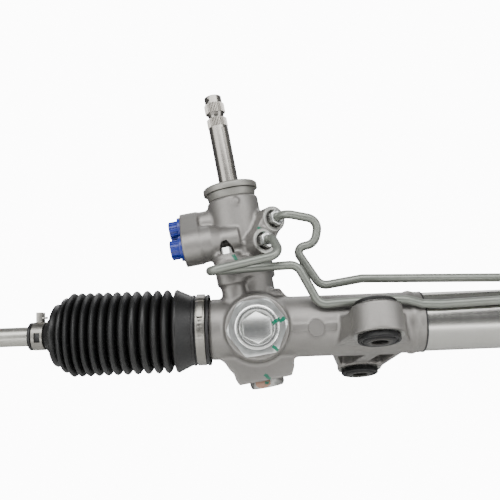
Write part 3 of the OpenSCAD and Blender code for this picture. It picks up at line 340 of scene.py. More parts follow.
def turned_metal(name, light_tone, dark_tone, roughness, axis="X"):
    material, tree, shader, where = new_material(name)
    scale = [per_mm(RING_MM if letter == axis else ACROSS_MM) for letter in "XYZ"]
    along = add_node(tree, "ShaderNodeMapping", {"Vector": where, "Scale": scale}).outputs[0]
    rings = add_node(tree, "ShaderNodeTexNoise", {
        "Vector": along, "Scale": 1.0, "Detail": 3.0}).outputs["Fac"]
    tone = add_node(tree, "ShaderNodeMix", {
        0: rings, 6: linear(dark_tone), 7: linear(light_tone)}, data_type="RGBA")
    gloss = add_node(tree, "ShaderNodeMapRange", {
        "Value": rings, "To Min": roughness * 0.95, "To Max": roughness * 1.08, **NOISE_SPAN})
    connect(tree, shader, {"Base Color": tone.outputs[2], "Roughness": gloss.outputs["Result"],
                           "Metallic": 1.0})
    return material


# Drawn through a die and brushed: a bright band runs down it, a little blurred at its edges.
tube_steel = turned_metal("drawn and brushed steel tube", "#a09f9b", "#979692", 0.25)
# Turned from bar and left bare: a pale grey with a broad, soft band.
rod_steel = turned_metal("turned steel rod", "#9a9993", "#8b8a84", 0.36)
# Ground to size: darker than the tube, with sharp light and dark bands.
shaft_steel = turned_metal("ground steel shaft", "#85827d", "#7b7873", 0.26, "Z")
# Hardened and wet with oil: dark, with bright edges.
inner_steel = turned_metal("oiled hardened steel", "#7c7c7c", "#646464", 0.3)
# Milled flat: brighter than the blasted casting round it.
faced_aluminium = turned_metal("faced aluminium", "#8f8f8b", "#868682", 0.38, "Z")
# Turned bearing bronze: a warm yellow brown.
bronze = turned_metal("turned bronze", "#b08a4a", "#96723a", 0.3, "Z")
print("tool rings drawn", RING_MM, "mm wide")

# %% [markdown]
# Zinc plate is bright and a little cloudy, because its crystals grow unevenly, and a coating or an oxide
# lies in the same uneven way. Three noises of different widths give the cloud in the tone, the haze in the
# gloss and a fine relief. The relief is drawn coarser than it is.

# %% Plated and coated metals
PLATE_CLOUD_MM, PLATE_HAZE_MM, PLATE_GRAIN_MM, PLATE_DEPTH_MM = 9, 5, 1.6, 0.012


def plated_steel(name, light_tone, dark_tone, roughness, metallic=1.0):
    material, tree, shader, where = new_material(name)
    cloud, haze, grain = [add_node(tree, "ShaderNodeTexNoise", {
        "Vector": where, "Scale": per_mm(size), "Detail": 2.0}).outputs["Fac"]
        for size in (PLATE_CLOUD_MM, PLATE_HAZE_MM, PLATE_GRAIN_MM)]
    tone = add_node(tree, "ShaderNodeMix", {
        0: cloud, 6: linear(dark_tone), 7: linear(light_tone)}, data_type="RGBA")
    gloss = add_node(tree, "ShaderNodeMapRange", {
        "Value": haze, "To Min": roughness * 0.92, "To Max": roughness * 1.12, **NOISE_SPAN})
    relief = add_node(tree, "ShaderNodeBump", {
        "Height": grain, "Distance": PLATE_DEPTH_MM * MM, "Strength": 0.25})
    connect(tree, shader, {"Base Color": tone.outputs[2], "Roughness": gloss.outputs["Result"],
                           "Normal": relief.outputs["Normal"], "Metallic": metallic})
    return material


CAP_MARKS = [((16.5, -52, 4.6), -28, (4.4, 4, 1.7)), ((22.8, -50, 6.6), -34, (4.8, 8, 1.9)),
             ((15, -50, -18.3), 40, (3.6, 8, 1.4))]
PLUG_MARKS = [((7.3, 0, -50), 0, (1.9, 40, 1.2))]
# Bright zinc over a turned face: nearly white where it mirrors a softbox.
cap_plate = painted(plated_steel("bright zinc plate, guide cap", "#c9cac8", "#bebfbd", 0.22), CAP_MARKS)
# The same plate over a rougher nut: a softer, slightly bluish shine.
nut_plate = painted(plated_steel("zinc plate, lock nut", "#c6c8c6", "#b6b8b7", 0.3), CAP_MARKS)
# Small plated fittings: bright edges and dark hollows.
zinc = plated_steel("bright zinc plate", "#c6c7c5", "#b4b6b4", 0.28)
# A thick pale passivated plate: looks almost white, with little mirror image.
white_zinc = plated_steel("pale zinc plate, bolts", "#eeeeec", "#d8d9d6", 0.35, 0.6)
# Rolled stainless strip: a plain mid grey with a wide shine.
band_steel = plated_steel("stainless band", "#83817c", "#706e69", 0.34)
# Phosphate soaks up oil: nearly black, with a dull gleam.
sleeve_steel = plated_steel("phosphated steel sleeve", "#42403e", "#353432", 0.45)
# Handled and worn zinc: greyer and duller than new plate, and copper red where it has gone.
plug_zinc = painted(plated_steel("worn zinc plate, bottom plug", "#a9a9a6", "#8d8d8a", 0.38), PLUG_MARKS)
plug_copper = painted(plated_steel("copper undercoat", "#8a6f60", "#6f594f", 0.42), PLUG_MARKS)
# An aluminium-rich coating on the lines: greenish grey, half metal and half paint to the eye.
line_coat = plated_steel("coated steel line", "#6e716b", "#5f625c", 0.4, 0.6)
# Black oxide on pressed plate: very dark, with a faint bluish sheen.
black_steel = plated_steel("black oxide steel", "#26262a", "#1a1a1c", 0.42, 0.6)
print("plate cloud", PLATE_CLOUD_MM, "mm wide")

# %% [markdown]
# Rubber and plastics take the faint grain of the mould that they were pressed in, and their tone drifts with
# the flow of the material. Their mirror image is weak and has no colour. The grain is drawn coarser than the
# real one, which is about a twentieth of a millimetre.

# %% Rubber and plastics
FLOW_MM, MOULD_DEPTH_MM = 12, 0.03


def moulded(name, light_tone, dark_tone, roughness, grain_mm=0.6, mirror=0.5):
    material, tree, shader, where = new_material(name)
    flow = add_node(tree, "ShaderNodeTexNoise", {
        "Vector": where, "Scale": per_mm(FLOW_MM), "Detail": 3.0}).outputs["Fac"]
    grain = add_node(tree, "ShaderNodeTexNoise", {
        "Vector": where, "Scale": per_mm(grain_mm), "Detail": 2.0}).outputs["Fac"]
    tone = add_node(tree, "ShaderNodeMix", {
        0: flow, 6: linear(dark_tone), 7: linear(light_tone)}, data_type="RGBA")
    gloss = add_node(tree, "ShaderNodeMapRange", {
        "Value": grain, "To Min": roughness * 0.9, "To Max": roughness * 1.15, **NOISE_SPAN})
    relief = add_node(tree, "ShaderNodeBump", {
        "Height": grain, "Distance": MOULD_DEPTH_MM * MM, "Strength": 0.3})
    connect(tree, shader, {"Base Color": tone.outputs[2], "Roughness": gloss.outputs["Result"],
                           "Normal": relief.outputs["Normal"], "Specular IOR Level": mirror})
    return material


# Chloroprene with soot in it: deep black, with a grey line of light on each crest.
boot_rubber = moulded("moulded chloroprene bellows", "#0a0a0a", "#050505", 0.42, 0.8, 0.32)
# Natural rubber: as black, but duller.
bush_rubber = moulded("moulded bush rubber", "#080808", "#040404", 0.5, 0.8, 0.25)
# Nitrile rubber: black with a slight gloss from the oil.
seal_rubber = moulded("nitrile seal rubber", "#141414", "#0d0d0d", 0.45)
# Polyethylene dyed through: a strong blue with waxy highlights.
plug_plastic = moulded("blue polyethylene", "#06207e", "#041866", 0.36)
# Acetal: cream white and smooth.
white_plastic = moulded("acetal", "#e8e5dc", "#dcd8cd", 0.4)
# Matt paper: white, with no shine and no grain that shows.
studio_paper = moulded("pale studio paper", "#f2f2f0", "#ececea", 0.9, 40)
floor.data.materials.append(studio_paper)
print("materials", len(bpy.data.materials))

# %% [markdown]
# ## The two castings
#
# Molten metal can't fill a sharp corner, and blasting rounds every edge, so a casting has soft edges outside
# and fillets inside. The CAD solid has neither, so the work starts from a copy of it. A CAD node's mesh is
# made of loose triangles, and the copy's are merged into one skin first. Blender's operators act on what is
# selected, so two small helpers select one piece alone and open all of it for editing.

# %% Copying a node
def only(piece):
    """Leaves edit mode and selects this piece alone."""
    if bpy.context.object and bpy.context.object.mode != "OBJECT":
        bpy.ops.object.mode_set(mode="OBJECT")
    bpy.ops.object.select_all(action="DESELECT")
    if piece:
        piece.select_set(True)
        bpy.context.view_layer.objects.active = piece


def edit_all():
    """Opens the active piece with all of its mesh selected."""
    bpy.ops.object.mode_set(mode="EDIT")
    bpy.ops.mesh.select_all(action="SELECT")


def copied(piece, name, move=Matrix()):
    """The same piece again, with its own mesh, moved to another place."""
    twin = bpy.data.objects.new(name, piece.data.copy())
    twin.data.name = name
    bpy.context.collection.objects.link(twin)
    twin.data.transform(move)
    return twin


SAME_POINT_MM = 0.0005


def merged_copy(node, name):
    """A copy of a CAD node with its loose triangles joined into one skin."""
    piece = copied(nodes[node], name)
    only(piece)
    bpy.ops.mesh.customdata_custom_splitnormals_clear()
    edit_all()
    bpy.ops.mesh.remove_doubles(threshold=SAME_POINT_MM * MM)
    bpy.ops.object.mode_set(mode="OBJECT")
    return piece


print("gear housing node", len(nodes["gear_housing"].data.polygons), "triangles")

# %% [markdown]
# The copy is rebuilt as a fine grid of small cells, then swollen and shrunk by the same amount: swelling closes
# the sharp inside corners, and shrinking leaves a fillet of that radius there while every flat stays where it was.
# A little smoothing rounds the outside edges, and a decimate keeps the mesh light. Each finished piece gets its
# material, hangs on the body that it moves with and hides the CAD nodes that it stands for.

# %% Gear housing and valve housing
FILLET_MM, SMOOTH_ROUNDS = 2.2, 3


def apply_all(piece):
    """Applies every modifier in order."""
    only(piece)
    for modifier in list(piece.modifiers):
        bpy.ops.object.modifier_apply(modifier=modifier.name)


def into_cells(piece, cell_mm):
    cells = piece.modifiers.new("cells", "REMESH")
    cells.mode = "VOXEL"
    cells.voxel_size = cell_mm * MM


def swell(piece, by_mm):
    skin = piece.modifiers.new("swell", "DISPLACE")
    skin.strength = by_mm * MM
    skin.mid_level = 0


def cast_copy(node, name, cell_mm, keep):
    piece = merged_copy(node, name)
    into_cells(piece, cell_mm)
    swell(piece, FILLET_MM)
    into_cells(piece, cell_mm)
    swell(piece, -FILLET_MM)
    into_cells(piece, cell_mm)
    smooth = piece.modifiers.new("soft corners", "SMOOTH")
    smooth.factor = 0.5
    smooth.iterations = SMOOTH_ROUNDS
    piece.modifiers.new("light", "DECIMATE").ratio = keep
    apply_all(piece)
    bpy.ops.object.shade_smooth()
    print(name, len(piece.data.polygons), "faces")
    return piece


def finished(piece, material, body, slot, *stands_for):
    """Gives the piece its material, hangs it on the body that it moves with and hides the CAD nodes that it stands
    for. The slot is not used.
    """
    piece.data.materials.clear()
    piece.data.materials.append(material)
    if body:
        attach(piece, body)
    if stands_for:
        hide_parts(*stands_for)
    return piece


finished(cast_copy("gear_housing", "gear_housing_casting", 0.9, 0.42), casting, "root", "cast_aluminium",
         "gear_housing")
finished(cast_copy("valve_housing", "valve_housing_casting", 0.75, 0.55), valve_casting, "root",
         "cast_aluminium", "valve_housing")

# %% [markdown]
# Where the two halves of the mould met, the casting keeps a raised band with a round pad on it. It is
# crisper than the rest of the casting, because it was dressed with a file, so it is laid on the rounded copy
# as a piece of its own. The pad is round, and most of this gear was made on a lathe or moulded round, so the
# helper made here serves for much of what follows: it draws half of a section as a chain of extruded points
# and spins it round the local z axis.

# %% Raised pad
HOUSING_R, PAD_X, PAD_Z, PAD_R, PAD_PROUD = 27.75, 52, -2.2, 7.5, 1.75
DOUBLED_POINT_MM = 0.002


def name_it(name):
    piece = bpy.context.object
    piece.name = piece.data.name = name
    return piece


def chain(name, points):
    """A new piece whose points follow one another, left open for editing."""
    only(None)
    bpy.ops.mesh.primitive_plane_add(size=MM)
    piece = name_it(name)
    edit_all()
    bpy.ops.mesh.merge(type="CENTER")
    bpy.ops.transform.translate(value=points[0])
    for before, after in zip(points, points[1:]):
        bpy.ops.mesh.extrude_region_move(TRANSFORM_OT_translate={"value": after - before})
    return piece


def tidy_mesh(piece):
    """Merges doubled points and turns every face outwards."""
    only(piece)
    edit_all()
    bpy.ops.mesh.remove_doubles(threshold=DOUBLED_POINT_MM * MM)
    bpy.ops.mesh.normals_make_consistent(inside=False)
    bpy.ops.object.mode_set(mode="OBJECT")


def turned(name, outline, where, steps=96):
    """Spins a chain of (radius, height) points, in millimetres, round the local z axis."""
    piece = chain(name, [Vector((radius, 0, height)) * MM for radius, height in outline])
    bpy.ops.mesh.select_all(action="SELECT")
    bpy.ops.mesh.spin(steps=steps, angle=math.tau, center=(0, 0, 0), axis=(0, 0, 1))
    bpy.ops.object.mode_set(mode="OBJECT")
    tidy_mesh(piece)
    piece.data.transform(where)
    return piece


def on_guide(z):
    """A frame at the rack guide's axis, which points at the viewer."""
    return place((0, -z, 0), (90, "X"))


pad_top = HOUSING_R + PAD_PROUD
pad = turned("parting_pad", [
    (0, HOUSING_R - 3), (PAD_R, HOUSING_R - 3), (PAD_R - 0.1, pad_top - 0.4), (PAD_R - 0.5, pad_top),
    (0, pad_top)], shifted(on_guide(0), PAD_X, PAD_Z, 0))
print("pad stands out", PAD_PROUD, "mm")

# %% [markdown]
# The band is a box with rounded edges, joined to the pad. A finished piece gets its sharp edges rounded,
# where they need it, because a real edge always catches a thin line of light, and is then shaded smooth up to
# an angle.

# %% Parting band
BAND_X, BAND_Z, BAND_PROUD, BAND_THICK = (28, 70), (-4.9, 1.7), 1.0, 4


def block(name, size, where, rounding):
    """A box round the local origin, its edges rounded."""
    only(None)
    bpy.ops.mesh.primitive_cube_add(size=MM)
    piece = name_it(name)
    edit_all()
    bpy.ops.transform.resize(value=size, center_override=(0, 0, 0))
    if rounding:
        bpy.ops.mesh.bevel(offset=rounding * MM, segments=3)
    bpy.ops.object.mode_set(mode="OBJECT")
    piece.data.transform(where)
    return piece


def joined(name, *pieces):
    """Several meshes as one piece."""
    only(None)
    for piece in pieces:
        piece.select_set(True)
    bpy.context.view_layer.objects.active = pieces[0]
    bpy.ops.object.join()
    return name_it(name)


def soften(piece, width_mm, angle=30, segments=2):
    """Rounds the sharp edges, then smooths what is nearly flat."""
    if width_mm:
        modifier = piece.modifiers.new("rounding", "BEVEL")
        modifier.limit_method = "ANGLE"
        modifier.angle_limit = math.radians(angle)
        modifier.width = width_mm * MM
        modifier.segments = segments
        apply_all(piece)
    only(piece)
    bpy.ops.object.shade_smooth_by_angle(angle=math.radians(angle))
    return piece


band_size = (BAND_X[1] - BAND_X[0], BAND_THICK, BAND_Z[1] - BAND_Z[0])
band_middle = (sum(BAND_X) / 2, BAND_THICK / 2 - HOUSING_R - BAND_PROUD, sum(BAND_Z) / 2)
band = block("parting_band", band_size, place(band_middle), 0.4)
finished(soften(joined("parting_band_and_pad", pad, band), 0, 35), casting, "root", "cast_aluminium")
print("band stands out", BAND_PROUD, "mm")

# %% [markdown]
# Where a line screws in, the casting is faced off with a cutter. The cut ring is bright and flat, with fine
# turning marks, in the middle of the dull blasted surface. One ring is made and copied to the other union.

# %% Faced rings at the line unions
PINION_Y = (pinion_pos[1] - rack_axis[1]) / MM
PINION_TILT = 8.7
UNION_TURN, UNION_FACE, UNION_FACING_R = 33, 38.4, (8.7, 11.9)
LOW_UNION, HIGH_UNION = (1.4, 76.2), (16.8, 96.1)


def on_pinion(across=0, depth=0, height=0):
    """A frame on the pinion's axis, which leans to the left."""
    return shifted(place((0, PINION_Y, 0), (-PINION_TILT, "Y")), across, depth, height)


def on_union(union):
    across, height = union
    facing_out = on_pinion() @ Matrix.Rotation(math.radians(UNION_TURN - 90), 4, "Z")
    return shifted(facing_out, 0, across, height) @ Matrix.Rotation(math.radians(90), 4, "Y")


def ring(name, inner, outer, low, high, where):
    """A plain washer or sleeve, as a closed square section."""
    return turned(name, [(inner, low), (outer, low), (outer, high), (inner, high), (inner, low)], where)


facing = soften(ring("lower_union_facing", *UNION_FACING_R, UNION_FACE - 0.3, UNION_FACE + 0.12,
                     on_union(LOW_UNION)), 0.05)
to_high_union = on_union(HIGH_UNION) @ on_union(LOW_UNION).inverted()
for piece in (facing, copied(facing, "upper_union_facing", to_high_union)):
    finished(piece, faced_aluminium, "root", "cast_aluminium")
    print(piece.name, len(piece.data.polygons), "faces")

# %% [markdown]
# ## Machined and plated pieces
#
# These were cut from bar or drawn from tube, so the CAD shape is right and only the edges need breaking. The
# flat faces are first dissolved into single ones, so that a bevel finds only the real edges.

# %% Nuts, caps, shafts and tubes
ROUNDED = [
    ("cylinder_tube", "steel_cylinder", 0.5, tube_steel, "root", "steel_tube"),
    ("valve_housing_bolts", "tower_bolts", 0.4, white_zinc, "root", "zinc"),
    ("union_nuts", "line_union_nuts", 0.3, zinc, "root", "zinc"),
    ("input_shaft", "serrated_input_shaft", 0, shaft_steel, "input_group", "bright_steel"),
    ("torsion_pin", "shaft_pin", 0.15, inner_steel, "input_group", "oiled_steel"),
    ("dust_cover", "shaft_cover", 0.6, cover_casting, "root", "cast_aluminium"),
    ("saddle_bracket", "pressed_saddle", 0.7, black_steel, "root", "dark_steel"),
    ("saddle_rubber", "saddle_liner", 0.5, bush_rubber, "root", "black_rubber"),
]


FLAT_DEGREES = 0.5


def rounded_copy(node, name, width_mm):
    piece = merged_copy(node, name)
    only(piece)
    edit_all()
    bpy.ops.mesh.dissolve_limited(angle_limit=math.radians(FLAT_DEGREES))
    bpy.ops.object.mode_set(mode="OBJECT")
    return soften(piece, width_mm)


for node, name, width, material, body, slot in ROUNDED:
    piece = finished(rounded_copy(node, name, width), material, body, slot, node)
    print(name, len(piece.data.polygons), "faces")

# %% [markdown]
# A thin black ring round the tube, at the end of the casting's collar, draws the dark line at the joint.

# %% Black ring at the tube joint
COLLAR_END, TUBE_R = 150, 26.75


def along_rack(x):
    """A frame on the rack's axis, which points to the right."""
    return place((x, 0, 0), (90, "Y"))


seal = ring("collar_joint_black_ring", TUBE_R - 0.3, TUBE_R + 1.1, -0.4, 1.0, along_rack(COLLAR_END))
finished(soften(seal, 0.3), seal_rubber, "root", "black_rubber")
print("seal", len(seal.data.polygons), "faces")

# %% [markdown]
# The rack guide's cap is turned from bar, with a hexagon socket broached into its face and a chamfer at the
# socket's mouth. Its outer edge steps down where the thread ends, which shows as a dark ring inside the nut.
# The socket is cut with a hexagonal bar.

# %% Rack guide cap
CAP_BACK, CAP_FACE, CAP_R, CAP_STEP_R = 33.5, 53, 18.95, 17.9
SOCKET_AF, SOCKET_DEPTH, SOCKET_MOUTH_R, SOCKET_TURN = 23.6, 9.5, 14.9, -3
CORNER = 1 / math.cos(math.radians(30))


def rod(name, radius, low, high, where, sides, turn=0):
    """A straight round or hexagonal bar along the local z axis."""
    only(None)
    bpy.ops.mesh.primitive_cylinder_add(vertices=sides, radius=radius * MM, depth=(high - low) * MM)
    piece = name_it(name)
    edit_all()
    bpy.ops.transform.rotate(value=math.radians(turn), orient_axis="Z", center_override=(0, 0, 0))
    bpy.ops.transform.translate(value=(0, 0, (low + high) / 2 * MM))
    bpy.ops.object.mode_set(mode="OBJECT")
    piece.data.transform(where)
    return piece


def cut(piece, cutter):
    """Cuts a solid away and removes the cutter."""
    modifier = piece.modifiers.new("cut", "BOOLEAN")
    modifier.object = cutter
    modifier.solver = "EXACT"
    apply_all(piece)
    bpy.data.objects.remove(cutter)


cap = turned("rack_guide_cap", [
    (0, CAP_BACK), (CAP_R, CAP_BACK), (CAP_R, CAP_FACE - 2.6), (CAP_STEP_R, CAP_FACE - 2.4),
    (CAP_STEP_R, CAP_FACE - 0.7), (CAP_STEP_R - 0.7, CAP_FACE), (SOCKET_MOUTH_R, CAP_FACE),
    (SOCKET_AF / 2 - 0.2, CAP_FACE - 3.4), (0, CAP_FACE - 3.4)], on_guide(0))
cut(cap, rod("socket_cutter", SOCKET_AF / 2 * CORNER, CAP_FACE - SOCKET_DEPTH, CAP_FACE + 5, on_guide(0), 6,
             SOCKET_TURN))
finished(soften(cap, 0.2), cap_plate, "root", "zinc", "guide_cap")
print("socket", SOCKET_AF, "mm across flats")

# %% [markdown]
# The lock nut is a hexagon whose corners are turned off by a wide chamfer, so from the front it looks nearly
# round, with a bright flat ring and soft corners.

# %% Lock nut
NUT_AF, NUT_LOW, NUT_HIGH, NUT_TURN, NUT_CORNER_R = 47, 42.05, 50, 22.5, 26.7
nut = rod("rack_guide_lock_nut", NUT_AF / 2 * CORNER, NUT_LOW, NUT_HIGH, on_guide(0), 6, NUT_TURN)
cut(nut, rod("thread_cutter", CAP_R + 0.1, NUT_LOW - 5, NUT_HIGH + 5, on_guide(0), 96))
cut(nut, turned("corner_cutter", [
    (NUT_CORNER_R, NUT_LOW - 2), (NUT_CORNER_R, NUT_LOW + 5.4), (26.2, NUT_LOW + 6.6),
    (23.9, NUT_HIGH + 0.3), (40, NUT_HIGH + 0.3), (40, NUT_LOW - 2), (NUT_CORNER_R, NUT_LOW - 2)],
    on_guide(0)))
finished(soften(nut, 0.5, 25, 3), nut_plate, "root", "zinc", "guide_lock_nut")
print("nut", len(nut.data.polygons), "faces")

# %% [markdown]
# The plug under the tower is a plated hexagon. One of its flats was rubbed down to the copper undercoat, so
# that flat alone gets the copper material, chosen by the way it faces.

# %% Tower bottom plug
PLUG_R, PLUG_LOW, PLUG_HIGH, PLUG_TURN, PLUG_CORNER_R = 17, -55, -47.4, 45, 16.3
FRONT_COS, SMALLEST_FLAT_MM = 0.93, 3

plug = rod("tower_bottom_plug", PLUG_R, PLUG_LOW, PLUG_HIGH, on_pinion(), 6, PLUG_TURN)
cut(plug, turned("corner_cutter", [
    (PLUG_CORNER_R, PLUG_HIGH + 1), (PLUG_CORNER_R, PLUG_LOW + 3), (14.6, PLUG_LOW - 0.1),
    (25, PLUG_LOW - 0.1), (25, PLUG_HIGH + 1), (PLUG_CORNER_R, PLUG_HIGH + 1)], on_pinion()))
finished(soften(plug, 0.5, 25, 3), plug_zinc, "root", "zinc", "bottom_plug")
plug.data.materials.append(plug_copper)
worn = [face for face in plug.data.polygons
        if face.normal.y < -FRONT_COS and face.area > (SMALLEST_FLAT_MM * MM) ** 2]
for face in worn:
    face.material_index = 1
print("worn flats", len(worn))

# %% [markdown]
# ## Mounting bushes
#
# Each bush is a steel sleeve inside rubber. The rubber's lip is moulded with a groove between its outer rim
# and a raised ring round the sleeve, and the sleeve stands a little proud so that the bolt clamps steel on
# steel. The boss faces round them are milled, so they are brighter than the casting. The front bush is made
# here, and the rear one is a copy of it.

# %% Front bush
BUSH_TILT, BUSH_X, FRONT_BUSH_M, REAR_BUSH_M, BUSH_BOSS_H = 16, 102, -47, 73, 25
SLEEVE_R, SLEEVE_BORE_R, SEAT_R, LIP_R, LIP_T, BOSS_FACE_R, FACING_T = 11, 7.25, 15.9, 18.25, 5, 21.4, 0.12


def on_bracket(x, m, n):
    """A frame on the mounting bracket, which leans back."""
    return shifted(place((0, 0, 0), (-BUSH_TILT, "X")), x, m, n)


def lip(level, out):
    """Half the section of one lip, from the sleeve outwards; level is the boss face, out its direction."""
    return [(radius, level + out * height) for radius, height in (
        (SLEEVE_R + 0.05, 5.6), (13.0, 5.6), (13.7, 5.1), (14.1, 3.9), (15.3, 3.8), (16.0, 4.8),
        (17.4, 4.9), (LIP_R, 4.1), (LIP_R, 0.9), (LIP_R - 0.5, 0.15), (SEAT_R, 0.1))]


front = on_bracket(BUSH_X, FRONT_BUSH_M, 0)
below, above = lip(-BUSH_BOSS_H, -1), lip(0, 1)
rubber = soften(turned("front_bush_rubber_moulding", below + above[::-1] + below[:1], front), 0, 40)
low, high = -BUSH_BOSS_H - LIP_T - 1, LIP_T + 1
sleeve = soften(turned("front_bush_sleeve_tube", [
    (SLEEVE_BORE_R, low + 0.8), (SLEEVE_BORE_R + 0.8, low), (SLEEVE_R - 0.5, low), (SLEEVE_R, low + 0.5),
    (SLEEVE_R, high - 0.5), (SLEEVE_R - 0.5, high), (SLEEVE_BORE_R + 0.8, high), (SLEEVE_BORE_R, high - 0.8),
    (SLEEVE_BORE_R, low + 0.8)], front), 0, 25)
facing = soften(ring("front_bush_lower_facing", SEAT_R + 0.4, BOSS_FACE_R, -BUSH_BOSS_H - FACING_T,
                     -BUSH_BOSS_H, front), 0)
print("sleeve", high - low, "mm long")

# %% [markdown]
# The facing repeats on the upper side of the boss, and the whole bush repeats at the rear.

# %% Both bushes
to_upper = shifted(front, 0, 0, BUSH_BOSS_H + FACING_T) @ front.inverted()
to_rear = on_bracket(BUSH_X, REAR_BUSH_M, 0) @ front.inverted()
upper_facing = copied(facing, "front_bush_upper_facing", to_upper)
for piece, material, slot, stands_for in (
        (rubber, bush_rubber, "black_rubber", ["bush_rubber"]),
        (sleeve, sleeve_steel, "steel_tube", ["bush_sleeve"]),
        (facing, faced_aluminium, "cast_aluminium", []),
        (upper_facing, faced_aluminium, "cast_aluminium", [])):
    rear = copied(piece, piece.name.replace("front", "rear"), to_rear)
    finished(piece, material, "root", slot, *["front_" + node for node in stands_for])
    finished(rear, material, "root", slot, *["rear_" + node for node in stands_for])
    print(piece.name, "and", rear.name)

# %% [markdown]
# ## Transport plugs
#
# The pressure and return ports are closed with blue plastic plugs. Each has a thin flange that seals on the
# port face and a ribbed head for the fingers, hollow in the middle. One rib is copied round the head, and one
# plug is copied to the other port.

# %% Pressure and return port plugs
PORT_FACE = 53
LOW_PORT, HIGH_PORT = (-18.4, 85), (1.6, 106.5)
PLUG_FLANGE_R, PLUG_HEAD_R, PLUG_RIBS, RIB_SIZE = 11.8, 8.6, 14, (1.3, 1.3, 9)


def on_port(port):
    return shifted(on_pinion(), 0, port[0], port[1]) @ Matrix.Rotation(math.radians(-90), 4, "Y")


at_port = on_port(LOW_PORT)
flange = turned("pressure_port_plug", [(radius, PORT_FACE + out) for radius, out in (
    (0, -8), (7.6, -8), (7.9, -7), (7.9, 0.03), (PLUG_FLANGE_R, 0.05), (PLUG_FLANGE_R + 0.1, 1),
    (PLUG_FLANGE_R - 0.3, 3), (PLUG_HEAD_R, 3.6), (PLUG_HEAD_R - 0.2, 11.4), (PLUG_HEAD_R - 0.8, 12),
    (5.4, 12), (5, 11.4), (5, 6), (0, 6))], at_port)
first_rib = block("rib_0", RIB_SIZE, shifted(at_port, PLUG_HEAD_R, 0, PORT_FACE + 7), 0.35)
ribs = [first_rib]
for index in range(1, PLUG_RIBS):
    round_head = at_port @ Matrix.Rotation(math.tau * index / PLUG_RIBS, 4, "Z") @ at_port.inverted()
    ribs.append(copied(first_rib, f"rib_{index}", round_head))
pressure_plug = soften(joined("pressure_port_plug", flange, *ribs), 0, 35)
return_plug = copied(pressure_plug, "return_port_plug", on_port(HIGH_PORT) @ at_port.inverted())
finished(pressure_plug, plug_plastic, "root", "blue_plastic", "pressure_plug")
finished(return_plug, plug_plastic, "root", "blue_plastic", "return_plug")
print("plugs with", PLUG_RIBS, "ribs each")

# %% [markdown]
# ## Steel lines
#
# Each line is one tube, bent cold round a former: straight runs joined by round bends. The corners are the
# same as in the CAD. They are given in rack millimetres, or out from a union of the valve housing, or round
# the cylinder at a port. This step turns the corners into the line's real middle, with its bends.

# %% Corners and bends
LINE_BEND, BEND_STEPS, SHORT_RUN_SHARE, STRAIGHT = 11, 9, 0.46, 0.01
TUBE_PORT_DEPTH, TUBE_APPROACH = 29.75, 54.75


def at_valve(across, depth, height):
    tilt = math.radians(PINION_TILT)
    return Vector((across * math.cos(tilt) - height * math.sin(tilt), PINION_Y + depth,
                   across * math.sin(tilt) + height * math.cos(tilt)))


def out_of(union, out):
    across, height = union
    turn = math.radians(UNION_TURN)
    return at_valve(across * math.cos(turn) + out * math.sin(turn),
                    across * math.sin(turn) - out * math.cos(turn), height)


def round_tube(x, degrees, radius):
    turn = math.radians(degrees)
    return Vector((x, -radius * math.sin(turn), radius * math.cos(turn)))


def into_port(x, turn, from_r):
    return [round_tube(x - 36, turn, from_r), round_tube(x - 18, turn, TUBE_APPROACH),
            round_tube(x, turn, TUBE_APPROACH), round_tube(x, turn, TUBE_PORT_DEPTH)]


def with_bends(corners):
    """The corners replaced by round bends, tighter where the straights beside them are short."""
    points = [corners[0]]
    for before, here, after in zip(corners, corners[1:], corners[2:]):
        inward, outward = (here - before).normalized(), (after - here).normalized()
        turn = inward.angle(outward)
        if turn < STRAIGHT:
            continue
        shortest = min((here - before).length, (after - here).length)
        reach = min(LINE_BEND * math.tan(turn / 2), SHORT_RUN_SHARE * shortest)
        radius = reach / math.tan(turn / 2)
        side = (outward - inward * math.cos(turn)).normalized()
        for step in range(BEND_STEPS + 1):
            angle = turn * step / BEND_STEPS
            points.append(here - inward * reach + inward * radius * math.sin(angle)
                          + side * radius * (1 - math.cos(angle)))
    return points + [corners[-1]]


NEAR_CORNERS = [
    out_of(LOW_UNION, 30.4), out_of(LOW_UNION, 50.4), (23.5, -40, 62.5), (-39, -42, 50), (-39, -25, 51.5),
    (38, -25, 54.5), (56, -27, 18), (73, -28.5, 19), (114, -29, 20.5), (132, -29, 19.5), (146, -27.5, 15.5),
    (163, -27.5, 14.5), *into_port(262, 59.5, 32.05)]
FAR_CORNERS = [
    out_of(HIGH_UNION, 30.4), out_of(HIGH_UNION, 56.4), (60, -18, 95.5), (56, -12, 74.5), (37.5, -9, 71.5),
    (60, -5, 36), (98, -5, 41.5), (225, -5, 37.5), round_tube(300, 7.4, 43.8), *into_port(434, 7.4, 43.8)]
print("corners", len(NEAR_CORNERS), "and", len(FAR_CORNERS))

# %% [markdown]
# The line's middle becomes a chain of points, the chain becomes a curve with a round section, and the curve
# becomes a mesh.

# %% The two lines
LINE_D, ROUNDNESS = 8, 6


def steel_line(name, corners, node):
    points = [spot(*point) for point in with_bends([Vector(corner) for corner in corners])]
    chain(name, points)
    bpy.ops.object.mode_set(mode="OBJECT")
    bpy.ops.object.convert(target="CURVE")
    curve = bpy.context.object.data
    curve.bevel_depth = LINE_D / 2 * MM
    curve.bevel_resolution = ROUNDNESS
    curve.use_fill_caps = True
    bpy.ops.object.convert(target="MESH")
    piece = name_it(name)
    tidy_mesh(piece)
    print(name, len(points), "points,", len(piece.data.polygons), "faces")
    finished(soften(piece, 0, 40), line_coat, "root", "line_steel", node)


steel_line("near_steel_line", NEAR_CORNERS, "near_line")
steel_line("far_steel_line", FAR_CORNERS, "far_line")

# %% [markdown]
# ## Tie rods
#
# A tie rod is one turned piece: a ball in the rack's socket, a waist, a plain shank, and a rolled thread for
# the outer end. The thread is drawn as rings a pitch apart. The right-hand rod is its mirror image. A
# mirrored mesh is inside out, so its faces are turned again.

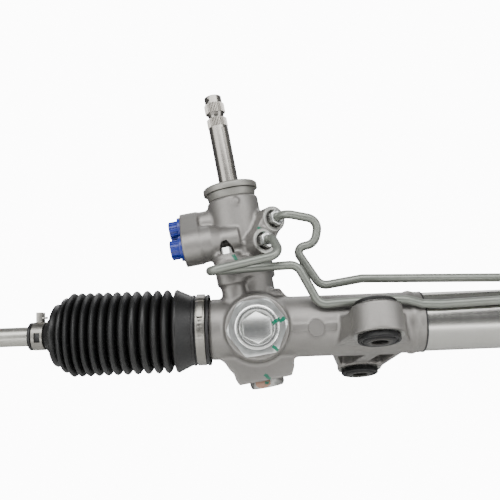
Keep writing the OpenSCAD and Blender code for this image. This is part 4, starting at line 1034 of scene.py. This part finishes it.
# %% Tie rods
BALL_X, BALL_R, BALL_STEP, BALL_POINTS = -135, 14, 208 / 12, 11
ROD_R, WAIST_R, ROD_END = 8.75, 6.6, -370
THREAD_R, THREAD_PITCH, THREAD_DEPTH, THREAD_L = 7.98, 1.5, 0.75, 70


def mirrored(piece, name):
    """The same piece for the right-hand end of the rack, with its own mesh."""
    middle = ORIGIN.x + SIDE_SUM / 2 * MM
    twin = copied(piece, name, Matrix.Translation((2 * middle, 0, 0)) @ Matrix.Scale(-1, 4, (1, 0, 0)))
    only(twin)
    edit_all()
    bpy.ops.mesh.flip_normals()
    bpy.ops.object.mode_set(mode="OBJECT")
    return twin


profile = [(0, ROD_END), (THREAD_R - 1.5, ROD_END), (THREAD_R - 0.2, ROD_END + 1.4)]
for index in range(int((THREAD_L - 3) / THREAD_PITCH)):
    at = ROD_END + 2 + index * THREAD_PITCH
    profile += [(THREAD_R - THREAD_DEPTH, at), (THREAD_R, at + 0.6 * THREAD_PITCH)]
profile += [(THREAD_R, ROD_END + THREAD_L), (ROD_R, ROD_END + THREAD_L + 0.8), (ROD_R, BALL_X - 40),
            (WAIST_R, BALL_X - 32)]
for index in reversed(range(BALL_POINTS)):
    angle = math.radians(index * BALL_STEP)
    profile.append((BALL_R * math.sin(angle), BALL_X + BALL_R * math.cos(angle)))
left_rod = turned("left_tie_rod_forging", profile, along_rack(0), 64)
finished(soften(left_rod, 0, 35), rod_steel, "left_tie", "bright_steel", "left_tie_rod")
finished(soften(mirrored(left_rod, "right_tie_rod_forging"), 0, 35), rod_steel, "right_tie", "bright_steel",
         "right_tie_rod")
print("tie rod points", len(profile))

# %% [markdown]
# ## Bellows
#
# A bellows is a thin rubber wall, blown or moulded, with round crests and narrow valleys. Its big end is clamped
# to the housing and its small end to the tie rod, so it bends between three bodies. It is made as two pieces that
# meet in a valley: a long one at the housing and a short one at the tie rod. Both are half sections first.

# %% Sections of the bellows
WALL, CREST_R, VALLEY_R, FOLD_SAMPLES, CREST_SHAPE = 1.6, 38.1, 28.6, 10, 0.6
CRESTS = (-81.2, -90.1, -99.6, -109.3, -118.7, -127.6, -136.1, -144.6, -152.5, -160.0, -167.0)
FIRST_CREST, LAST_CREST = -71.8, -174.0
SEAM = (CRESTS[-1] + LAST_CREST) / 2
SMALL_VALLEY, CUFF_START = (-177.6, 25.5), (-186.6, 17.5)


def fold(start, end, start_r, end_r, crest_r):
    """One fold from valley to valley: a round crest, with points close together in the valleys."""
    points = []
    for index in range(FOLD_SAMPLES):
        part = (1 - math.cos(math.pi * index / FOLD_SAMPLES)) / 2
        valley = start_r + (end_r - start_r) * part
        radius = valley + (crest_r - valley) * math.sin(math.pi * part) ** CREST_SHAPE
        points.append((radius, start + (end - start) * part))
    return points


long_wall = [
    (26.85 + WALL, -42.4), (31.9, -42.4), (32.4, -42.8), (32.4, -44.6), (31.25, -45.6), (31.25, -55.2),
    (32.3, -56), (32.3, -57.6), (31.6, -58.4), (36.9, -70), (37.6, -71), (37.9, -71.8), (37.3, -73.2)]
valleys = [(a + b) / 2 for a, b in zip((FIRST_CREST, *CRESTS), (*CRESTS, LAST_CREST))]
for start, end in zip(valleys, valleys[1:]):
    long_wall += fold(start, end, VALLEY_R, VALLEY_R, CREST_R)
long_wall.append((VALLEY_R, SEAM))
short_wall = fold(SEAM, SMALL_VALLEY[0], VALLEY_R, SMALL_VALLEY[1], 34.2)
short_wall += fold(SMALL_VALLEY[0], CUFF_START[0], SMALL_VALLEY[1], CUFF_START[1], 28.6)
short_wall += [
    (CUFF_START[1], CUFF_START[0]), (15.2, -190.4), (12.6, -192.4), (11.75, -193.4), (11.75, -204.8),
    (12.6, -205.4), (12.6, -207.6), (12.1, -208), (8.85 + WALL, -208)]
print("bellows seam at", round(SEAM, 1), "mm, crests", len(CRESTS) + 2)

# %% [markdown]
# The sections are spun into closed walls and mirrored for the other side. Each piece gets its rubber, hides the
# boot node that it stands for, and has its place baked into its mesh.

# %% Bellows
LONG_BEND, SHORT_BEND = (-59, -169), (SEAM - 0.3, -194)


def rubber_wall(name, outer):
    """A closed wall from its outer outline."""
    inner = [(radius - WALL, x) for radius, x in reversed(outer)]
    return soften(turned(name, outer + inner + outer[:1], along_rack(0)), 0, 50)


def side_x(side, x):
    return x if side == "left" else SIDE_SUM - x


left_long = rubber_wall("left_bellows_long", long_wall)
left_short = rubber_wall("left_bellows_short", short_wall)
right_long = soften(mirrored(left_long, "right_bellows_long"), 0, 50)
right_short = soften(mirrored(left_short, "right_bellows_short"), 0, 50)
for piece, side, bodies, reach in (
        (left_long, "left", ("root", "rack"), LONG_BEND),
        (left_short, "left", ("rack", "left_tie"), SHORT_BEND),
        (right_long, "right", ("root", "rack"), LONG_BEND),
        (right_short, "right", ("rack", "right_tie"), SHORT_BEND)):
    finished(piece, boot_rubber, None, "black_rubber", side + "_boot")
    start, end = (spot(side_x(side, x), 0, 0) for x in reach)
    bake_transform(piece)
    print(piece.name, len(piece.data.polygons), "faces")

# %% [markdown]
# ## Clamps and clips
#
# The big end is held by a stainless band: its tail lies over its head, with a row of slots in it, and a
# pressed latch stands above them, with a keeper that holds the tail down. Angles here are degrees above the
# front of the band.

# %% Boot clamps
CLAMP_X, CLAMP_HALF, CLAMP_R = -50.2, 3.9, 31.35
STRAP_SLOTS, SLOT_R = (13.2, 6.4, -0.7, -8.2), 1.15


def above_front(degrees):
    """The turn about the local z axis of a frame along the rack that faces so far above the front."""
    return 270 - degrees


def bent_bar(name, inner, outer, low, high, from_degrees, to_degrees, where, steps):
    """A flat bar bent round the local z axis, from one angle to another."""
    only(None)
    bpy.ops.mesh.primitive_plane_add(size=MM)
    piece = name_it(name)
    edit_all()
    bpy.ops.transform.rotate(value=math.radians(90), orient_axis="X", center_override=(0, 0, 0))
    bpy.ops.transform.resize(value=(outer - inner, 1, high - low), center_override=(0, 0, 0))
    bpy.ops.transform.translate(value=((inner + outer) / 2 * MM, 0, (low + high) / 2 * MM))
    bpy.ops.transform.rotate(value=math.radians(-from_degrees), orient_axis="Z", center_override=(0, 0, 0))
    bpy.ops.mesh.spin(steps=steps, angle=math.radians(from_degrees - to_degrees), center=(0, 0, 0),
                      axis=(0, 0, 1))
    bpy.ops.object.mode_set(mode="OBJECT")
    tidy_mesh(piece)
    piece.data.transform(where)
    return piece


where = along_rack(CLAMP_X)
band = turned("left_clamp_band", [
    (CLAMP_R, -CLAMP_HALF), (CLAMP_R + 0.5, -CLAMP_HALF), (CLAMP_R + 0.75, -CLAMP_HALF + 0.6),
    (CLAMP_R + 0.75, CLAMP_HALF - 0.6), (CLAMP_R + 0.5, CLAMP_HALF), (CLAMP_R, CLAMP_HALF),
    (CLAMP_R, -CLAMP_HALF)], where)
strap = bent_bar("strap", CLAMP_R + 0.8, CLAMP_R + 1.6, -CLAMP_HALF + 0.3, CLAMP_HALF - 0.3,
                 above_front(88), above_front(-16), where, 36)
for degrees in STRAP_SLOTS:
    outwards = Matrix.Rotation(math.radians(above_front(degrees)), 4, "Z") @ Matrix.Rotation(
        math.radians(90), 4, "Y")
    cut(strap, rod("slot_cutter", SLOT_R, CLAMP_R + 0.2, CLAMP_R + 4, where @ outwards, 24))
soften(strap, 0.15)
latch = soften(bent_bar("latch", CLAMP_R + 1.5, CLAMP_R + 3.4, -CLAMP_HALF + 0.9, CLAMP_HALF - 0.9,
                        above_front(38.7), above_front(18.6), where, 12), 0.7, 30, 3)
keeper = soften(bent_bar("keeper", CLAMP_R + 0.9, CLAMP_R + 2.4, -CLAMP_HALF - 0.1, CLAMP_HALF + 0.1,
                         above_front(58), above_front(50), where, 6), 0.4, 30, 2)
left_clamp = soften(joined("left_boot_clamp_band", band, strap, latch, keeper), 0, 35)
finished(left_clamp, band_steel, "root", "zinc", "left_boot_clamp")
finished(soften(mirrored(left_clamp, "right_boot_clamp_band"), 0, 35), band_steel, "root", "zinc",
         "right_boot_clamp")
print("clamp", len(left_clamp.data.polygons), "faces")

# %% [markdown]
# The small end has a spring clip: a band with a window in front, two upright ears to squeeze it by, and a
# small peg that is bent out beside the near ear.

# %% Boot clips
CLIP_X, CLIP_HALF, CLIP_R = -199.2, 5.3, 11.85
EAR_SIZE, EAR_Y, EAR_APART = (6.2, 1.1, 9.5), -3.4, 7

clip = turned("left_clip_band", [
    (CLIP_R, -CLIP_HALF), (CLIP_R + 0.7, -CLIP_HALF), (CLIP_R + 1.0, -CLIP_HALF + 0.4),
    (CLIP_R + 1.0, CLIP_HALF - 0.4), (CLIP_R + 0.7, CLIP_HALF), (CLIP_R, CLIP_HALF), (CLIP_R, -CLIP_HALF)],
    along_rack(CLIP_X))
cut(clip, block("window", (5.4, 8, 8.5), place((CLIP_X + 0.4, -CLIP_R, -1.5)), 0))
near_ear = block("near_ear", EAR_SIZE, place((CLIP_X + 0.2, EAR_Y, CLIP_R + 5.2)), 0.45)
far_ear = copied(near_ear, "far_ear", Matrix.Translation((0, EAR_APART * MM, 0)))
peg = block("peg", (5.5, 1.4, 2.2), place((CLIP_X + 5.2, EAR_Y, CLIP_R + 4.6)), 0.5)
left_clip = soften(joined("left_boot_clip_spring", clip, near_ear, far_ear, peg), 0, 35)
finished(left_clip, band_steel, "left_tie", "zinc", "left_boot_clip")
finished(soften(mirrored(left_clip, "right_boot_clip_spring"), 0, 35), band_steel, "right_tie", "zinc",
         "right_boot_clip")
print("clip", len(left_clip.data.polygons), "faces")

# %% [markdown]
# ## Inner pieces
#
# What lies inside the housings keeps its CAD shape and gets the metal, rubber or plastic that it is made of.

# %% Inner pieces
INNER = {
    inner_steel: ["bulkhead_snap_ring", "lower_bearing_race", "lower_bearing_balls", "lower_bearing_inner",
                  "pinion_needle_bearing", "pinion_nut", "pinion", "torsion_bar", "valve_bearing",
                  "input_circlip", "rack_bar", "rack_piston", "claw_washers", "guide_spring"],
    zinc: ["inner_seal_holder", "rack_bulkhead", "rack_guide"],
    black_steel: ["left_socket", "right_socket"],
    bronze: ["valve_sleeve"],
    seal_rubber: ["rack_seals", "guide_o_ring", "pinion_seal", "input_shaft_seal", "piston_ring"],
    white_plastic: ["guide_liner", "sleeve_rings", "left_ball_seat", "right_ball_seat"],
}
for material, names in INNER.items():
    for name in names:
        nodes[name].data.materials.clear()
        nodes[name].data.materials.append(material)
print("inner pieces", sum(len(names) for names in INNER.values()))

# %% [markdown]
#
# The box of the dressed model is printed.

only(None)
low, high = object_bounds()
print("visual box", [round(v, 4) for v in low], [round(v, 4) for v in high])
